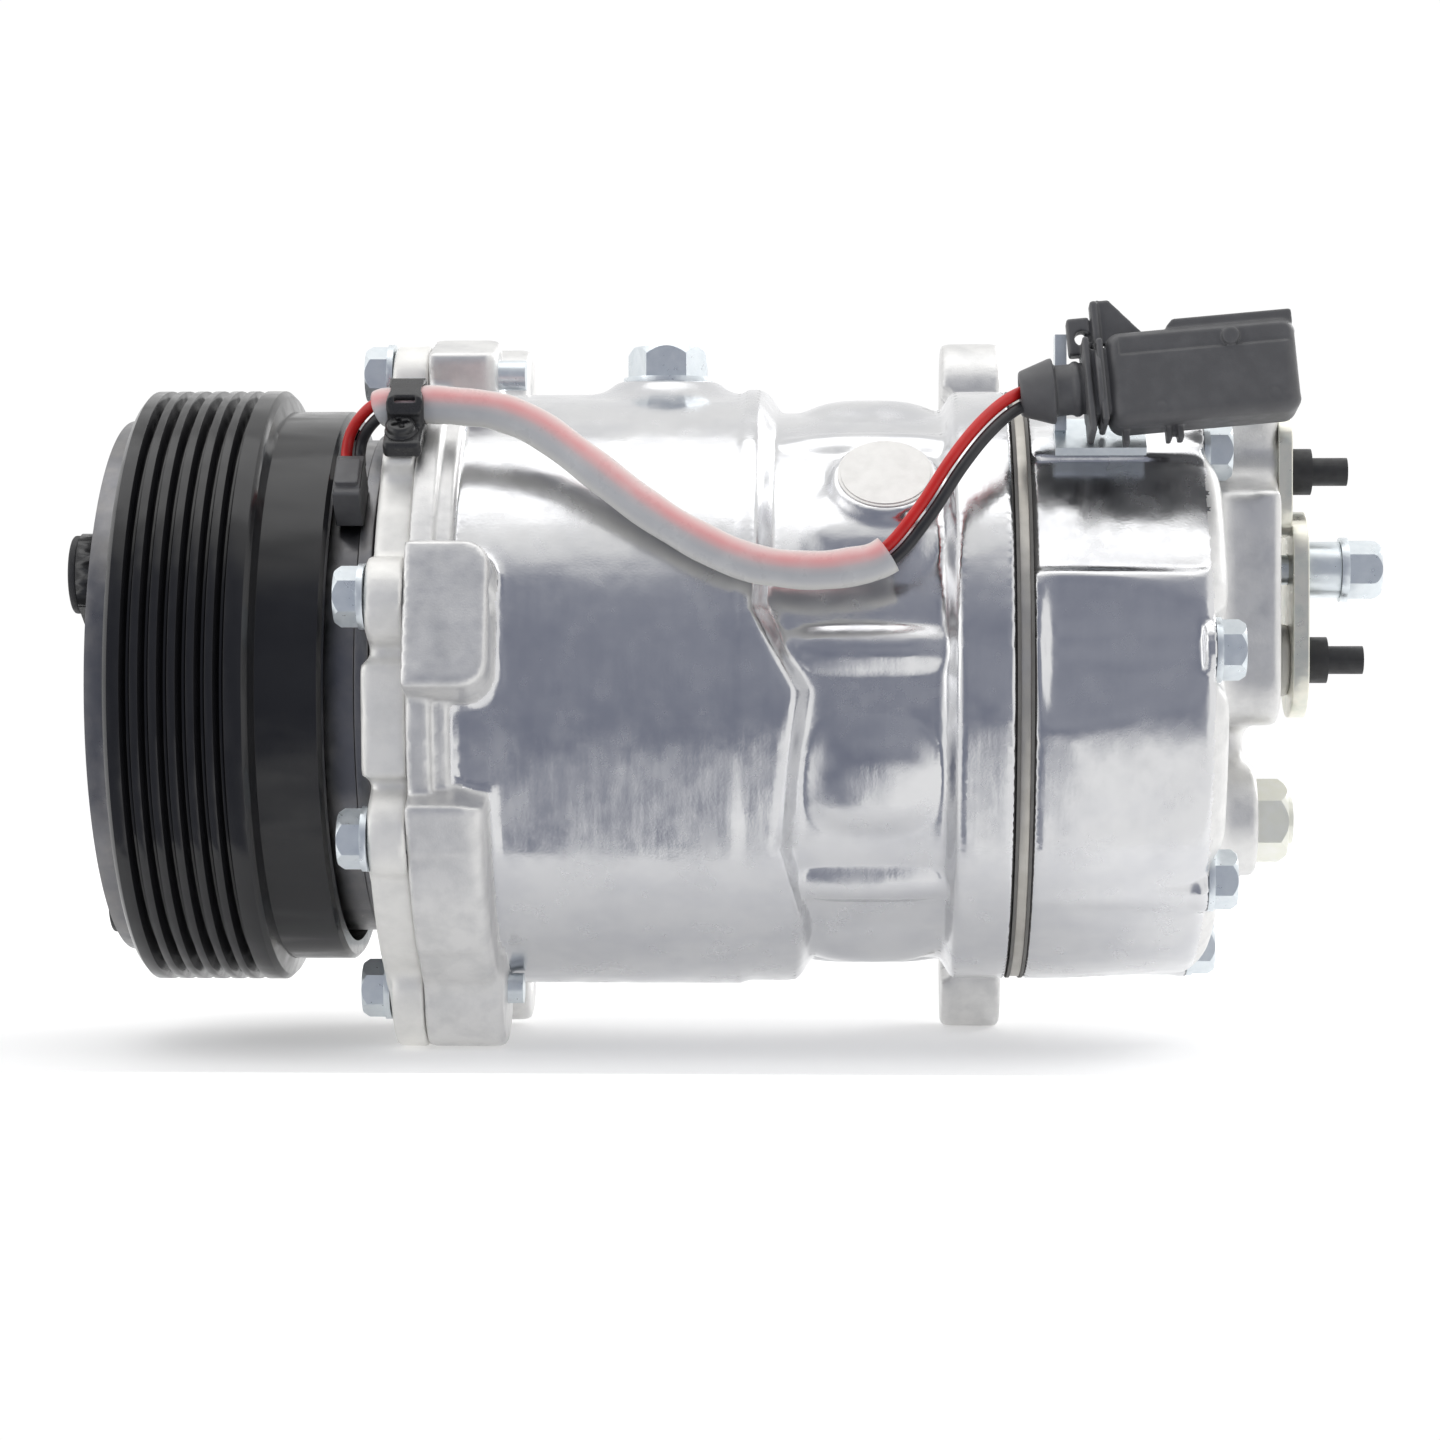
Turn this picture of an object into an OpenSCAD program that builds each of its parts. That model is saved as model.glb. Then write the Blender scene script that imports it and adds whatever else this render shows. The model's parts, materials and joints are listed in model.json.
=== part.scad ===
/* [Clutch and pulley] */
// Outside diameter of the belt pulley over its ridges
pulley_d = 120; // [114:1:126]
// Number of belt ribs that the pulley takes
belt_ribs = 6; // [4:1:6]
// Distance from one belt rib to the next
rib_pitch = 3.56; // [3.4:0.02:3.7]
// Air gap between the armature plate and the pulley
armature_gap = 0.5; // [0.35:0.05:0.7]

/* [Drive] */
// Tilt of the wobble plate from square to the shaft
tilt = 25; // [18:0.5:25]
// Diameter of the drive shaft in the crank chamber
shaft_d = 20; // [18:0.5:20]

/* [Cylinders] */
// Diameter of each piston
bore_d = 29.3; // [28:0.1:29.5]
// Radius of the circle that the cylinders stand on
cylinder_circle_r = 38.4; // [38:0.1:39]
// Angle of the first cylinder above the near side
first_cylinder = 32.8; // [28:0.2:36]

/* [Housings] */
// Outside radius of the crankcase around the crank chamber
case_r = 61; // [60:0.5:63]
// Length of the crankcase
case_l = 114.6; // [114.6:0.1:116]
// Outside radius of the rear head
head_r = 59.5; // [59:0.5:60.5]
// Length of the rear head without its bosses
head_l = 37; // [34:1:38]

/* [Mounting] */
// Distance between the upper and the lower mounting hole
ear_spacing = 120; // [118:1:124]
// Distance of the mounting holes behind the shaft
ear_offset = 28; // [26:1:30]
// Diameter of the mounting holes
ear_hole_d = 8.5; // [8.2:0.1:9]

/* [Hidden] */
$fn = 72;

cylinders = 7;
cylinder_step = 360 / cylinders;
head_bolt_first = first_cylinder - cylinder_step / 2;
front_bolt_angles = [15, 75, 128, 180, 232, 290, 333];
front_bolt_r = 64;
lug_root_r = 52;
through_bolt_end = 18.6;
blind_bolt_end = 13;
head_bolt_r = 53.5;

// Clutch, from front to rear along the shaft
pulley_r = pulley_d / 2;
pulley_front = -58;
pulley_rear = -17;
first_ridge = -55.4;
groove_r = pulley_r - 2.9;
drum_r = 55.8;
drum_inner_r = 52.2;
disc_t = 5;
bearing_outer_r = 27.5;
bearing_inner_r = 17.5;
bearing_front = -56;
bearing_w = 20;
bearing_mid_r = (bearing_outer_r + bearing_inner_r) / 2;
pulley_hub_r = 31.5;
hub_front = -66;
armature_t = 4;
arm_first = 30;
rivet_r = 43;
coil_lead_angle = 50;
coil_lead_r = 42;

// Nose and flange of the front housing
flange_t = 7.1;
lug_t = flange_t + 0.4;
ear_t = flange_t - 0.6;
nose_tip = -57.5;
seal_bore_r = 13;
shaft_nose_r = 7.5;
coil_rear = -8.6;

// Crank chamber
chamber_r = 54.5;
chamber_l = 60;
wide_l = 68;
running_gap = 0.05;
shaft_r = shaft_d / 2;
bore_r = bore_d / 2 + running_gap;

// Wobble plate: its ball centres lie in a plane that crosses the shaft at plate_x
plate_x = 35.5;
ball_circle_r = cylinder_circle_r / (1 - (1 - cos(tilt)) / 2);
ball_swing_r = ball_circle_r * (1 - cos(tilt)) / 2;
plate_r = 51;
plate_front = -8;
plate_rim_front = -9.4;
plate_rim_inner_r = 31;
plate_back = 2.5;
rotor_hub_r = 17;
rotor_front = -15;
rotor_back = -9.8;
rotor_r = 30;
sleeve_r = 14;
hinge_x = 22;
hinge_z = 23.8;
seat_r = 8.5;
seat_front = -7.8;
guide_pin_end = 56;
plate_ball_r = 6.5;
piston_ball_r = 6;
rod_neck_r = 3.5;
rod_reach = 52.4;
piston_crown = 9;
piston_l = 22;
piston_skirt_r = 11.5;

// Rear head and what stands on it
gasket_t = 0.6;
plate_rear = 117.8;
head_front = plate_rear;
head_rear = head_front + head_l;
port_y = -12;
port_face = 167.5;
port_high_z = 42.5;
port_low_z = 5;
port_screw_z = 23;
plug_bulb_l = 4.6;
valve_x = 137;
valve_z = -6.6;
relief_y = -12;
relief_z = -27;

// Mounting ears
ear_r = 12;
front_ear_l = 16;
rear_ear_x = 102.1;
rear_ear_l = 12.2;

// Filler plug, round pad, wire clip and connector strap
filler_x = 46.1;
pad_angle = 43.7;
pad_x = 90;
clip_angle = 50;
strap_angle = 52;

// Metric 6 fasteners
m6_r = 3;
m6_hole_r = 3.3;
m6_hex = 10;
m6_head_h = 4.5;
m6_washer_r = 6.2;
m6_washer_t = 1.2;

// Centre line of the coil's two wires: x, y, z
wire_route = [
    [-13, -38.2, 42.5], [-13.2, -37.2, 45.2], [-12.4, -38, 48.4], [-10.2, -40.4, 51.2], [-7.2, -42.6, 53.2],
    [-3, -43.2, 53.9], [2, -43.2, 54], [9, -43.6, 53.5], [16, -44.4, 52.4], [24, -46.6, 48.9],
    [34, -51, 41.6], [44, -55, 33.9], [54, -58.2, 27.6], [64, -60.2, 23.1], [74, -60.9, 21.5],
    [83, -60.8, 22], [90.3, -60.5, 24.4], [97, -59.4, 32.2], [103, -56.5, 41.4], [108.3, -52.5, 48.2],
    [113.5, -48.2, 53], [118.5, -45.2, 55.4], [124, -45, 56.3]];
sleeve_first = 4;
sleeve_last = 16;
wire_r = 1.05;
wire_apart = 1.3;
sleeve_outer_r = 3.7;
sleeve_inner_r = 3.2;
cord_sides = 8;

// ---------------------------------------------------------------- placing helpers

// Local Z becomes the shaft's direction, starting at x
module along(x = 0) translate([x, 0, 0]) rotate([0, 90, 0]) children();

// A turned piece: profile points are [radius, x]
module lathe(profile) rotate([0, 90, 0]) rotate_extrude() polygon(profile);

// A ring around the shaft
module ring(outer, inner, x, length) along(x)
    difference() {
        cylinder(h = length, r = outer);
        translate([0, 0, -1]) cylinder(h = length + 2, r = inner);
    }

// Angle a is counted from the near side (-Y) towards the top (+Z)
module turned(a) rotate([-a, 0, 0]) children();

// A place at radius r and angle a, with the axes left straight
module polar(a, r, x = 0) translate([x, -r * cos(a), r * sin(a)]) children();

// A cylinder that runs along the shaft's direction at that place
module rod_at(a, r, x, length, radius) polar(a, r, x) along() cylinder(h = length, r = radius);

// Local Z becomes the radial direction at angle a
module radial(a, x = 0) translate([x, 0, 0]) turned(a) rotate([90, 0, 0]) children();

// The tilted frame of the wobble plate: local X is its axis, the origin its centre
module on_plate() translate([plate_x, 0, 0]) rotate([0, tilt, 0]) children();

// A flat outline with round corners, centred
module rounded(w, h, r) {
    square([w - 2 * r, h], center = true);
    square([w, h - 2 * r], center = true);
    for (sx = [-1, 1])
        for (sy = [-1, 1])
            translate([sx * (w / 2 - r), sy * (h / 2 - r)]) circle(r);
}

// A hexagon head with its corners turned off, standing on z = 0
module hex_head(across, height) intersection() {
    cylinder(h = height, r = across / 2 / cos(30), $fn = 6);
    cylinder(h = height, r1 = across * 0.7, r2 = across * 0.7 - height * 0.25);
    translate([0, 0, -across]) cylinder(h = across + height, r1 = across * 1.5, r2 = across * 0.5);
}

// An M6 flange bolt: its washer face is at z = 0, its shank goes down
module m6_bolt(shank) {
    cylinder(h = m6_washer_t, r = m6_washer_r);
    translate([0, 0, m6_washer_t]) hex_head(m6_hex, m6_head_h);
    translate([0, 0, -shank]) cylinder(h = shank, r = m6_r);
}

// ---------------------------------------------------------------- swept cords

function unit(v) = v / norm(v);
function spline(a, b, c, d, t) = 0.5 * (2 * b + (c - a) * t + (2 * a - 5 * b + 4 * c - d) * t * t
    + (3 * b - a - 3 * c + d) * t * t * t);
function clamped(route, i) = route[max(0, min(len(route) - 1, i))];
function smooth(route, first, last, steps) = concat(
    [for (i = [first : last - 1]) for (s = [0 : steps - 1])
        spline(clamped(route, i - 1), route[i], route[i + 1], clamped(route, i + 2), s / steps)],
    [route[last]]);
function heading(path, i) = unit(clamped(path, i + 1) - clamped(path, i - 1));
function outward(p) = unit([0, p.y, p.z]);
function sideways(path, i) = unit(cross(heading(path, i), outward(path[i])));
function upright(path, i) = cross(sideways(path, i), heading(path, i));
function beside(path, distance) = [for (i = [0 : len(path) - 1]) path[i] + distance * sideways(path, i)];

// One closed tube along a path
module cord(path, r, sides = cord_sides) {
    rings = len(path);
    points = [for (i = [0 : rings - 1]) for (s = [0 : sides - 1])
        path[i] + r * (cos(360 * s / sides) * sideways(path, i) + sin(360 * s / sides) * upright(path, i))];
    walls = [for (i = [0 : rings - 2]) for (s = [0 : sides - 1])
        [i * sides + s, i * sides + (s + 1) % sides,
         (i + 1) * sides + (s + 1) % sides, (i + 1) * sides + s]];
    cut = [for (s = [0 : sides - 1]) sides - 1 - s];
    far_cut = [for (s = [0 : sides - 1]) (rings - 1) * sides + s];
    polyhedron(points, concat(walls, [cut], [far_cut]));
}

// ---------------------------------------------------------------- clutch and pulley

// Ribbed rim, rear drum, friction disc and bearing ring in one turned piece
module pulley() color("dimgray") difference() {
    lathe(concat(
        [[bearing_outer_r, pulley_front + 1], [pulley_r - 1.2, pulley_front], [pulley_r, pulley_front + 1]],
        [for (k = [0 : belt_ribs]) each [
            [pulley_r, first_ridge + k * rib_pitch - 0.75],
            [pulley_r, first_ridge + k * rib_pitch + 0.75],
            if (k < belt_ribs) [groove_r, first_ridge + (k + 0.5) * rib_pitch - 0.25],
            if (k < belt_ribs) [groove_r, first_ridge + (k + 0.5) * rib_pitch + 0.25]]],
        [[pulley_r, first_ridge + belt_ribs * rib_pitch + 2.6],
         [pulley_r - 1, first_ridge + belt_ribs * rib_pitch + 3.6],
         [drum_r, first_ridge + belt_ribs * rib_pitch + 4.4],
         [drum_r, pulley_rear - 0.8], [drum_r - 0.8, pulley_rear],
         [drum_inner_r, pulley_rear], [drum_inner_r, pulley_front + disc_t],
         [pulley_hub_r, pulley_front + disc_t], [pulley_hub_r, bearing_front + bearing_w],
         [bearing_outer_r, bearing_front + bearing_w]]));
    for (k = [0 : 5])
        turned(60 * k) for (slot_r = [37.5, 46])
            rotate([0, 90, 0]) translate([0, 0, pulley_front - 1])
                rotate_extrude(angle = 44) translate([slot_r, 0]) square([2.2, disc_t + 2]);
}

module pulley_bearing_outer() color("silver") difference() {
    ring(bearing_outer_r, bearing_mid_r + 2, bearing_front, bearing_w);
    for (x = [5.5, 14.5])
        translate([bearing_front + x, 0, 0]) rotate([0, 90, 0])
            rotate_extrude() translate([bearing_mid_r, 0]) circle(3.3);
}

// Inner ring on the housing's nose, with two rows of balls
module pulley_bearing_inner() color("silver") {
    difference() {
        ring(bearing_mid_r - 2, bearing_inner_r, bearing_front, bearing_w);
        for (x = [5.5, 14.5])
            translate([bearing_front + x, 0, 0]) rotate([0, 90, 0])
                rotate_extrude() translate([bearing_mid_r, 0]) circle(3.3);
    }
    for (x = [5.5, 14.5])
        for (k = [0 : 13])
            polar(360 / 14 * k, bearing_mid_r, bearing_front + x) sphere(3.1);
}

// Splined centre and three-armed flange that the armature hangs on
module clutch_hub() color("gainsboro") difference() {
    union() {
        along(hub_front) cylinder(h = 4, r = 20);
        along(hub_front + 4) cylinder(h = 14, r = 11.5);
        for (k = [0 : 2])
            turned(arm_first + 120 * k) translate([hub_front, -44, -8]) cube([3, 40, 16]);
        for (k = [0 : 2])
            rod_at(arm_first + 120 * k, rivet_r, hub_front, 3, 8);
    }
    along(hub_front - 1) cylinder(h = 20, r = shaft_nose_r + 0.02);
    for (k = [0 : 2])
        rod_at(arm_first + 120 * k, rivet_r, hub_front - 1, 6, 6.02);
}

// Rubber cushions between the hub's arms and the armature's rivets
module hub_dampers() color("black")
    for (k = [0 : 2])
        difference() {
            union() {
                rod_at(arm_first + 120 * k, rivet_r, hub_front - 0.8, 4, 6);
                rod_at(arm_first + 120 * k, rivet_r, hub_front - 1.6, 1.6, 7.6);
            }
            rod_at(arm_first + 120 * k, rivet_r, hub_front - 3, 8, 3.4);
        }

module hub_nut() color("silver") difference() {
    along(hub_front - 5.2) union() {
        cylinder(h = 5.2, r = 14 / 2 / cos(30), $fn = 6);
        translate([0, 0, 3.6]) cylinder(h = 1.6, r = 9);
    }
    along(hub_front - 7) cylinder(h = 10, r = 4.02);
}

// Steel ring that the coil pulls against the pulley, with the rivets it hangs on
module armature_plate() color("dimgray") {
    difference() {
        ring(54, 31, pulley_front - armature_gap - armature_t, armature_t);
        for (k = [0 : 2])
            turned(arm_first + 30 + 120 * k) rotate([0, 90, 0]) translate([0, 0, pulley_front - 8])
                rotate_extrude(angle = 80) translate([41.5, 0]) square([2.2, 10]);
    }
    for (k = [0 : 2])
        rod_at(arm_first + 120 * k, rivet_r, hub_front - 2.4, 2.4 + 8 - armature_gap - armature_t + 0.5, 3);
}

// Steel shell of the field coil, open towards the pulley's disc, and the snap ring that holds it
module clutch_coil() color("silver") {
    difference() {
        union() {
            ring(50, 34, -40, 30);
            ring(51, 20.2, -11.4, 2.8);
        }
        ring(46.5, 37, -41, 28);
        rod_at(coil_lead_angle, coil_lead_r, -14, 8, 4.2);
    }
    difference() {
        ring(24, 20.2, -13, 1.4);
        translate([-14, -30, -4]) cube([4, 30, 8]);
    }
}

module coil_winding() color("black") union() {
    ring(46.4, 37.1, -39.4, 26);
    rod_at(coil_lead_angle, coil_lead_r, -14, 3, 4);
}

// Moulded block where the two wires leave the coil
module coil_terminal() color("black") {
    turned(44) translate([-16, -60, -7]) cube([5.4, 8.9, 11]);
    turned(44) translate([-15.5, -61, -5]) cube([4.4, 2, 7]);
}

// ---------------------------------------------------------------- front housing

// A flat-faced lug over a housing bolt: w across, l along the shaft, r its rear corners
module bolt_lug(a, shift, w, l, reach, r) radial(a) translate([0, shift, lug_root_r])
    linear_extrude(reach - lug_root_r) {
        translate([0, -w / 2]) square([l - r, w]);
        translate([l / 2, 0]) rounded(l, w, r);
    }

module front_housing() color("lightgray") difference() {
    union() {
        lathe([[8, nose_tip], [16.5, nose_tip], [bearing_inner_r, nose_tip + 1], [bearing_inner_r, -36],
               [20, -36], [20, -8.6], [24, -8.6], [30, -flange_t], [case_r - 0.6, -flange_t],
               [case_r - 0.6, 0], [8, 0]]);
        for (a = front_bolt_angles)
            turned(a) translate([-lug_t, 2.5 - front_bolt_r, 0]) rotate([0, 90, 0]) linear_extrude(lug_t) {
                circle(r = 8.4);
                translate([-8, 0]) square([16, 8]);
            }
        turned(-4) translate([-flange_t - 1.7, -61.5, -13.5]) cube([flange_t + 1.7, 9.5, 22]);
        rod_at(290, 63, -ear_t, ear_t, 12.5);
        turned(clip_angle) translate([-ear_t, -64.2, -9.5]) cube([ear_t, 12, 19]);
        for (side = [-1, 1]) {
            translate([-ear_t, ear_offset, side * ear_spacing / 2])
                along() cylinder(h = ear_t, r = ear_r - 2);
            translate([-ear_t, 18, side * 52 - 8]) cube([ear_t, 18, 16]);
        }
    }
    along(nose_tip - 1) cylinder(h = 21.5, r = seal_bore_r);
    along(nose_tip - 1) cylinder(h = 70, r = shaft_r + 0.6);
    along(-30) cylinder(h = 31, r = 13.02);
    along(-3.2) cylinder(h = 4, r = 28.5);
    for (a = front_bolt_angles)
        rod_at(a, front_bolt_r, -flange_t - 2, flange_t + 4, m6_hole_r);
    for (side = [-1, 1])
        translate([-flange_t - 1, ear_offset, side * ear_spacing / 2])
            along() cylinder(h = flange_t + 2, r = ear_hole_d / 2 + 0.6);
    radial(-47.5, -2) translate([0, 0, 58]) cylinder(h = 6, r = 1.5);
}

module front_housing_bolts() color("silver")
    for (a = front_bolt_angles)
        polar(a, front_bolt_r, -lug_t) rotate([0, -90, 0])
            m6_bolt(lug_t + (abs(sin(a)) > 0.6 ? through_bolt_end : blind_bolt_end));

// ---------------------------------------------------------------- crankcase

module outer_case() {
    // crank chamber, with the lower side a little fuller
    translate([0, 0, -0.8]) lathe([[0, 0], [case_r, 0], [case_r, 3.7], [case_r - 1.1, 5.4],
        [case_r - 1.1, wide_l - 3], [case_r - 3.6, wide_l + 1.5], [0, wide_l + 1.5]]);
    ring(case_r + 0.6, 50, 0, 3.7);
    // cylinder bulges and the ridges of the rear bolts between them
    for (k = [0 : cylinders - 1]) {
        rod_at(first_cylinder + cylinder_step * k, cylinder_circle_r, wide_l, case_l - wide_l - 6, 19.4);
        rod_at(head_bolt_first + cylinder_step * k, 51.2, wide_l, case_l - wide_l - 6, 6);
    }
    along(wide_l) cylinder(h = case_l - wide_l, r = 50);
    lathe([[0, 100.5], [56, 100.5], [head_r, 103.5], [head_r, case_l], [0, case_l]]);
}

// Lugs of the front bolts: the two near ones are long pads, the lower one is a wide lobe
module case_lugs() {
    bolt_lug(15, -4.5, 28.6, 16.2, 69.5, 5);
    bolt_lug(75, 0, 17, 13.5, 70, 3);
    bolt_lug(128, 0, 17, 13.5, 70, 3);
    bolt_lug(180, 0, 17, 13.5, 70, 3);
    bolt_lug(232, 0, 17, 13.5, 70, 3);
    bolt_lug(333, -8, 34, 12.5, 68.5, 4);
    bolt_lug(290, 0, 23, 14, 66, 3);
    rod_at(290, 63, 0, 15.5, 12.5);
}

// Everything of the casting outside its hollows, without the mounting ears
module case_body() {
    outer_case();
    case_lugs();
    // filler boss on top
    translate([filler_x, 0, 55]) cylinder(h = 6, r1 = 15, r2 = 9.8);
    translate([filler_x, 0, 40]) cylinder(h = 15.1, r = 15);
    // flat round boss on the near side
    radial(pad_angle, pad_x) cylinder(h = 58.2, r = 9.6);
    for (side = [-1, 1])
        translate([rear_ear_x, 2, side * 56 - 3]) cube([rear_ear_l, 18, 6]);
}

module ear_holes() for (side = [-1, 1])
    for (x = [-1, rear_ear_x - 1])
        translate([x, ear_offset, side * ear_spacing / 2]) along() cylinder(h = 20, r = ear_hole_d / 2);

// The four ears of the long engine-bracket bolts, cast on the crankcase
module mount_ears() color("silver") difference() {
    mounting_ears();
    case_body();
    ear_holes();
}

module mounting_ears() for (side = [-1, 1]) {
    translate([0, ear_offset, side * ear_spacing / 2]) along() cylinder(h = front_ear_l, r = ear_r - 1);
    translate([0, 16, side * 50 - 10]) cube([front_ear_l, 20, 20]);
    translate([rear_ear_x, ear_offset, side * ear_spacing / 2]) along() cylinder(h = rear_ear_l, r = ear_r);
    translate([rear_ear_x, 16, side * 50 - 10]) cube([rear_ear_l, 22, 20]);
}

// Crank chamber and cylinder block in one casting
module crankcase() color("silver") difference() {
    case_body();
    along(-1) cylinder(h = chamber_l + 1, r = chamber_r);
    for (k = [0 : cylinders - 1]) {
        rod_at(first_cylinder + cylinder_step * k, cylinder_circle_r, chamber_l - 1, 60, bore_r);
        rod_at(head_bolt_first + cylinder_step * k, head_bolt_r, case_l - 13, 15, m6_r + running_gap);
    }
    along(chamber_l - 1) cylinder(h = 60, r = 13.02);
    for (a = front_bolt_angles)
        rod_at(a, front_bolt_r, -1, 30, m6_r + 0.05);
    ear_holes();
    translate([filler_x, 0, 40]) cylinder(h = 30, r = 5);
    translate([filler_x, 0, 60.5]) cylinder(h = 3, r = 7.3);
    // groove that holds the wobble plate's guide pin
    translate([6, -6.2, -57.8]) cube([50, 12.4, 10]);
    along(-30) cylinder(h = 30, r = 90);
}

// ---------------------------------------------------------------- shaft

module drive_shaft() color("lightgray") lathe([
    [0, hub_front - 7], [3.6, hub_front - 7], [4, hub_front - 6.6], [4, hub_front],
    [shaft_nose_r, hub_front], [shaft_nose_r, -40], [8, -40], [8, -31], [shaft_r, -31],
    [shaft_r, 82], [9, 82], [9, 83.5], [0, 83.5]]);

module shaft_seal() color("black") difference() {
    ring(seal_bore_r - 0.01, 8.6, -48, 9);
    ring(11.5, 8, -45, 7);
}

// Needle bearings of the nose and of the cylinder block
module shaft_bearings() color("silver") {
    ring(13, shaft_r + 0.05, -27, 16);
    ring(13, shaft_r + 0.05, 63, 16);
}

// Disc that drives the rotor through its two arms
module lug_plate() color("gray") difference() {
    union() {
        ring(34, shaft_r, 3.4, 4.2);
        ring(15, shaft_r, 3.4, 9);
        for (side = [-1, 1])
            translate([3.4, side * 9.2 - 2.6, 17.8]) cube([hinge_x - 3.4, 5.2, 12]);
        for (side = [-1, 1])
            translate([hinge_x, side * 9.2 - 2.6, hinge_z]) rotate([-90, 0, 0]) cylinder(h = 5.2, r = 6);
    }
    translate([hinge_x, -20, hinge_z]) rotate([-90, 0, 0]) cylinder(h = 40, r = 3.1);
}

module shaft_sleeve() color("silver") difference() {
    intersection() {
        translate([plate_x, 0, 0]) sphere(sleeve_r);
        along(plate_x - 9) cylinder(h = 18, r = 20);
    }
    along(plate_x - 20) cylinder(h = 40, r = shaft_r);
}

// Rotor that turns with the shaft at the plate's tilt, with its hinge pin
module swash_rotor() color("darkgray") {
    difference() {
        union() {
            on_plate() along(rotor_front) cylinder(h = rotor_back - rotor_front, r = rotor_r);
            on_plate() along(rotor_back) cylinder(h = 4.6 - rotor_back, r = rotor_hub_r);
            intersection() {
                translate([hinge_x - 4, -6, 18]) cube([14, 12, 12]);
                on_plate() along(-30) cylinder(h = 30 + rotor_back, r = rotor_r);
            }
            translate([hinge_x, -6, hinge_z]) rotate([-90, 0, 0]) cylinder(h = 12, r = 5.8);
        }
        translate([plate_x, 0, 0]) sphere(sleeve_r + running_gap);
        along(0) cylinder(h = 70, r = shaft_r + 0.8);
        along(0) cylinder(h = plate_x - 8, r = 15.6);
        translate([hinge_x, -20, hinge_z]) rotate([-90, 0, 0]) cylinder(h = 40, r = 3.02);
    }
    translate([hinge_x, -13, hinge_z]) rotate([-90, 0, 0]) cylinder(h = 26, r = 3);
}

// Needle thrust bearings ahead of the lug plate and between rotor and wobble plate
module thrust_bearings() color("silver") {
    ring(28, 17, 0.3 - 3, 5.8);
    on_plate() ring(29, rotor_hub_r + 0.4, rotor_back + 0.1, 1.5);
}

// ---------------------------------------------------------------- wobble plate and pistons

// Flat direction of cylinder k in the plate's own plane
function plate_angle(k) = first_cylinder + cylinder_step * (k - 1);

// Centre of the ball of rod k in the plate
function plate_ball(k) = let (a = plate_angle(k), up = ball_circle_r * sin(a))
    [plate_x + up * sin(tilt), -ball_circle_r * cos(a), up * cos(tilt)];

// Centre of the ball of rod k in its piston, on the cylinder's axis
function piston_ball(k) = let (a = plate_angle(k))
    [plate_ball(k).x + rod_reach, -cylinder_circle_r * cos(a), cylinder_circle_r * sin(a)];

module wobble_plate() color("gainsboro") difference() {
    union() {
        on_plate() along(plate_front) cylinder(h = plate_back - plate_front, r = plate_r);
        on_plate() ring(plate_r, plate_rim_inner_r, plate_rim_front, 3);
        on_plate() translate([-3, 0, -guide_pin_end]) cylinder(h = 20, r = 3);
    }
    on_plate() along(plate_front - 1) cylinder(h = 20, r = rotor_hub_r + running_gap);
    on_plate() for (k = [1 : cylinders])
        rod_at(plate_angle(k), ball_circle_r, seat_front - 0.2, 20, seat_r + running_gap);
    // lightening pockets between the seats
    on_plate() for (k = [1 : cylinders])
        rod_at(plate_angle(k) + cylinder_step / 2, 41, -2, 20, 3.4);
}

// Cup in the wobble plate that holds the rod's ball
module ball_seat(k) color("goldenrod") on_plate() polar(plate_angle(k), ball_circle_r)
    rotate([0, 90, 0]) rotate_extrude() difference() {
        translate([0, seat_front]) square([seat_r, plate_back - seat_front]);
        circle(plate_ball_r + running_gap);
    }

// Rod with a ball at each end, between the plate and the piston
module piston_rod(k) color("silver") {
    from = plate_ball(k);
    to = piston_ball(k);
    way = to - from;
    reach = norm(way);
    translate(from) rotate([0, 0, atan2(way.y, way.x)]) rotate([0, acos(way.z / reach), 0]) {
        sphere(plate_ball_r);
        cylinder(h = reach, r = rod_neck_r);
        translate([0, 0, 14]) cylinder(h = reach - 28, r = 4.2);
        translate([0, 0, reach]) sphere(piston_ball_r);
    }
}

// Cup piston with two ring grooves, open towards the wobble plate
module piston(k) color("lightgray") translate(piston_ball(k)) along() difference() {
    translate([0, 0, piston_crown - piston_l]) cylinder(h = piston_l, r = bore_d / 2);
    translate([0, 0, piston_crown - piston_l - 1]) cylinder(h = piston_l - 12, r = piston_skirt_r);
    sphere(piston_ball_r + running_gap);
    translate([0, 0, -20]) cylinder(h = 20, r = rod_neck_r + 1.5);
    for (groove = [3, 7.5])
        translate([0, 0, piston_crown - groove]) difference() {
            cylinder(h = 1.6, r = bore_d);
            translate([0, 0, -1]) cylinder(h = 4, r = bore_d / 2 - 0.9);
        }
}

// ---------------------------------------------------------------- valve plate and rear head

module valve_plate() color("dimgray") difference() {
    ring(head_r - 0.4, 3, case_l + gasket_t, plate_rear - case_l - 2 * gasket_t);
    for (k = [0 : cylinders - 1]) {
        rod_at(head_bolt_first + cylinder_step * k, head_bolt_r, case_l - 1, 6, m6_hole_r);
        rod_at(first_cylinder + cylinder_step * k, 31, case_l - 1, 6, 3);
        rod_at(first_cylinder + cylinder_step * k, 45, case_l - 1, 6, 3);
    }
}

// Thin sheets on both sides of the valve plate
module valve_gaskets() color("black")
    for (x = [case_l, plate_rear - gasket_t])
        difference() {
            ring(head_r - 0.1, 51.4, x, gasket_t);
            for (k = [0 : cylinders - 1])
                rod_at(head_bolt_first + cylinder_step * k, head_bolt_r, x - 1, 3, m6_hole_r);
        }

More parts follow.
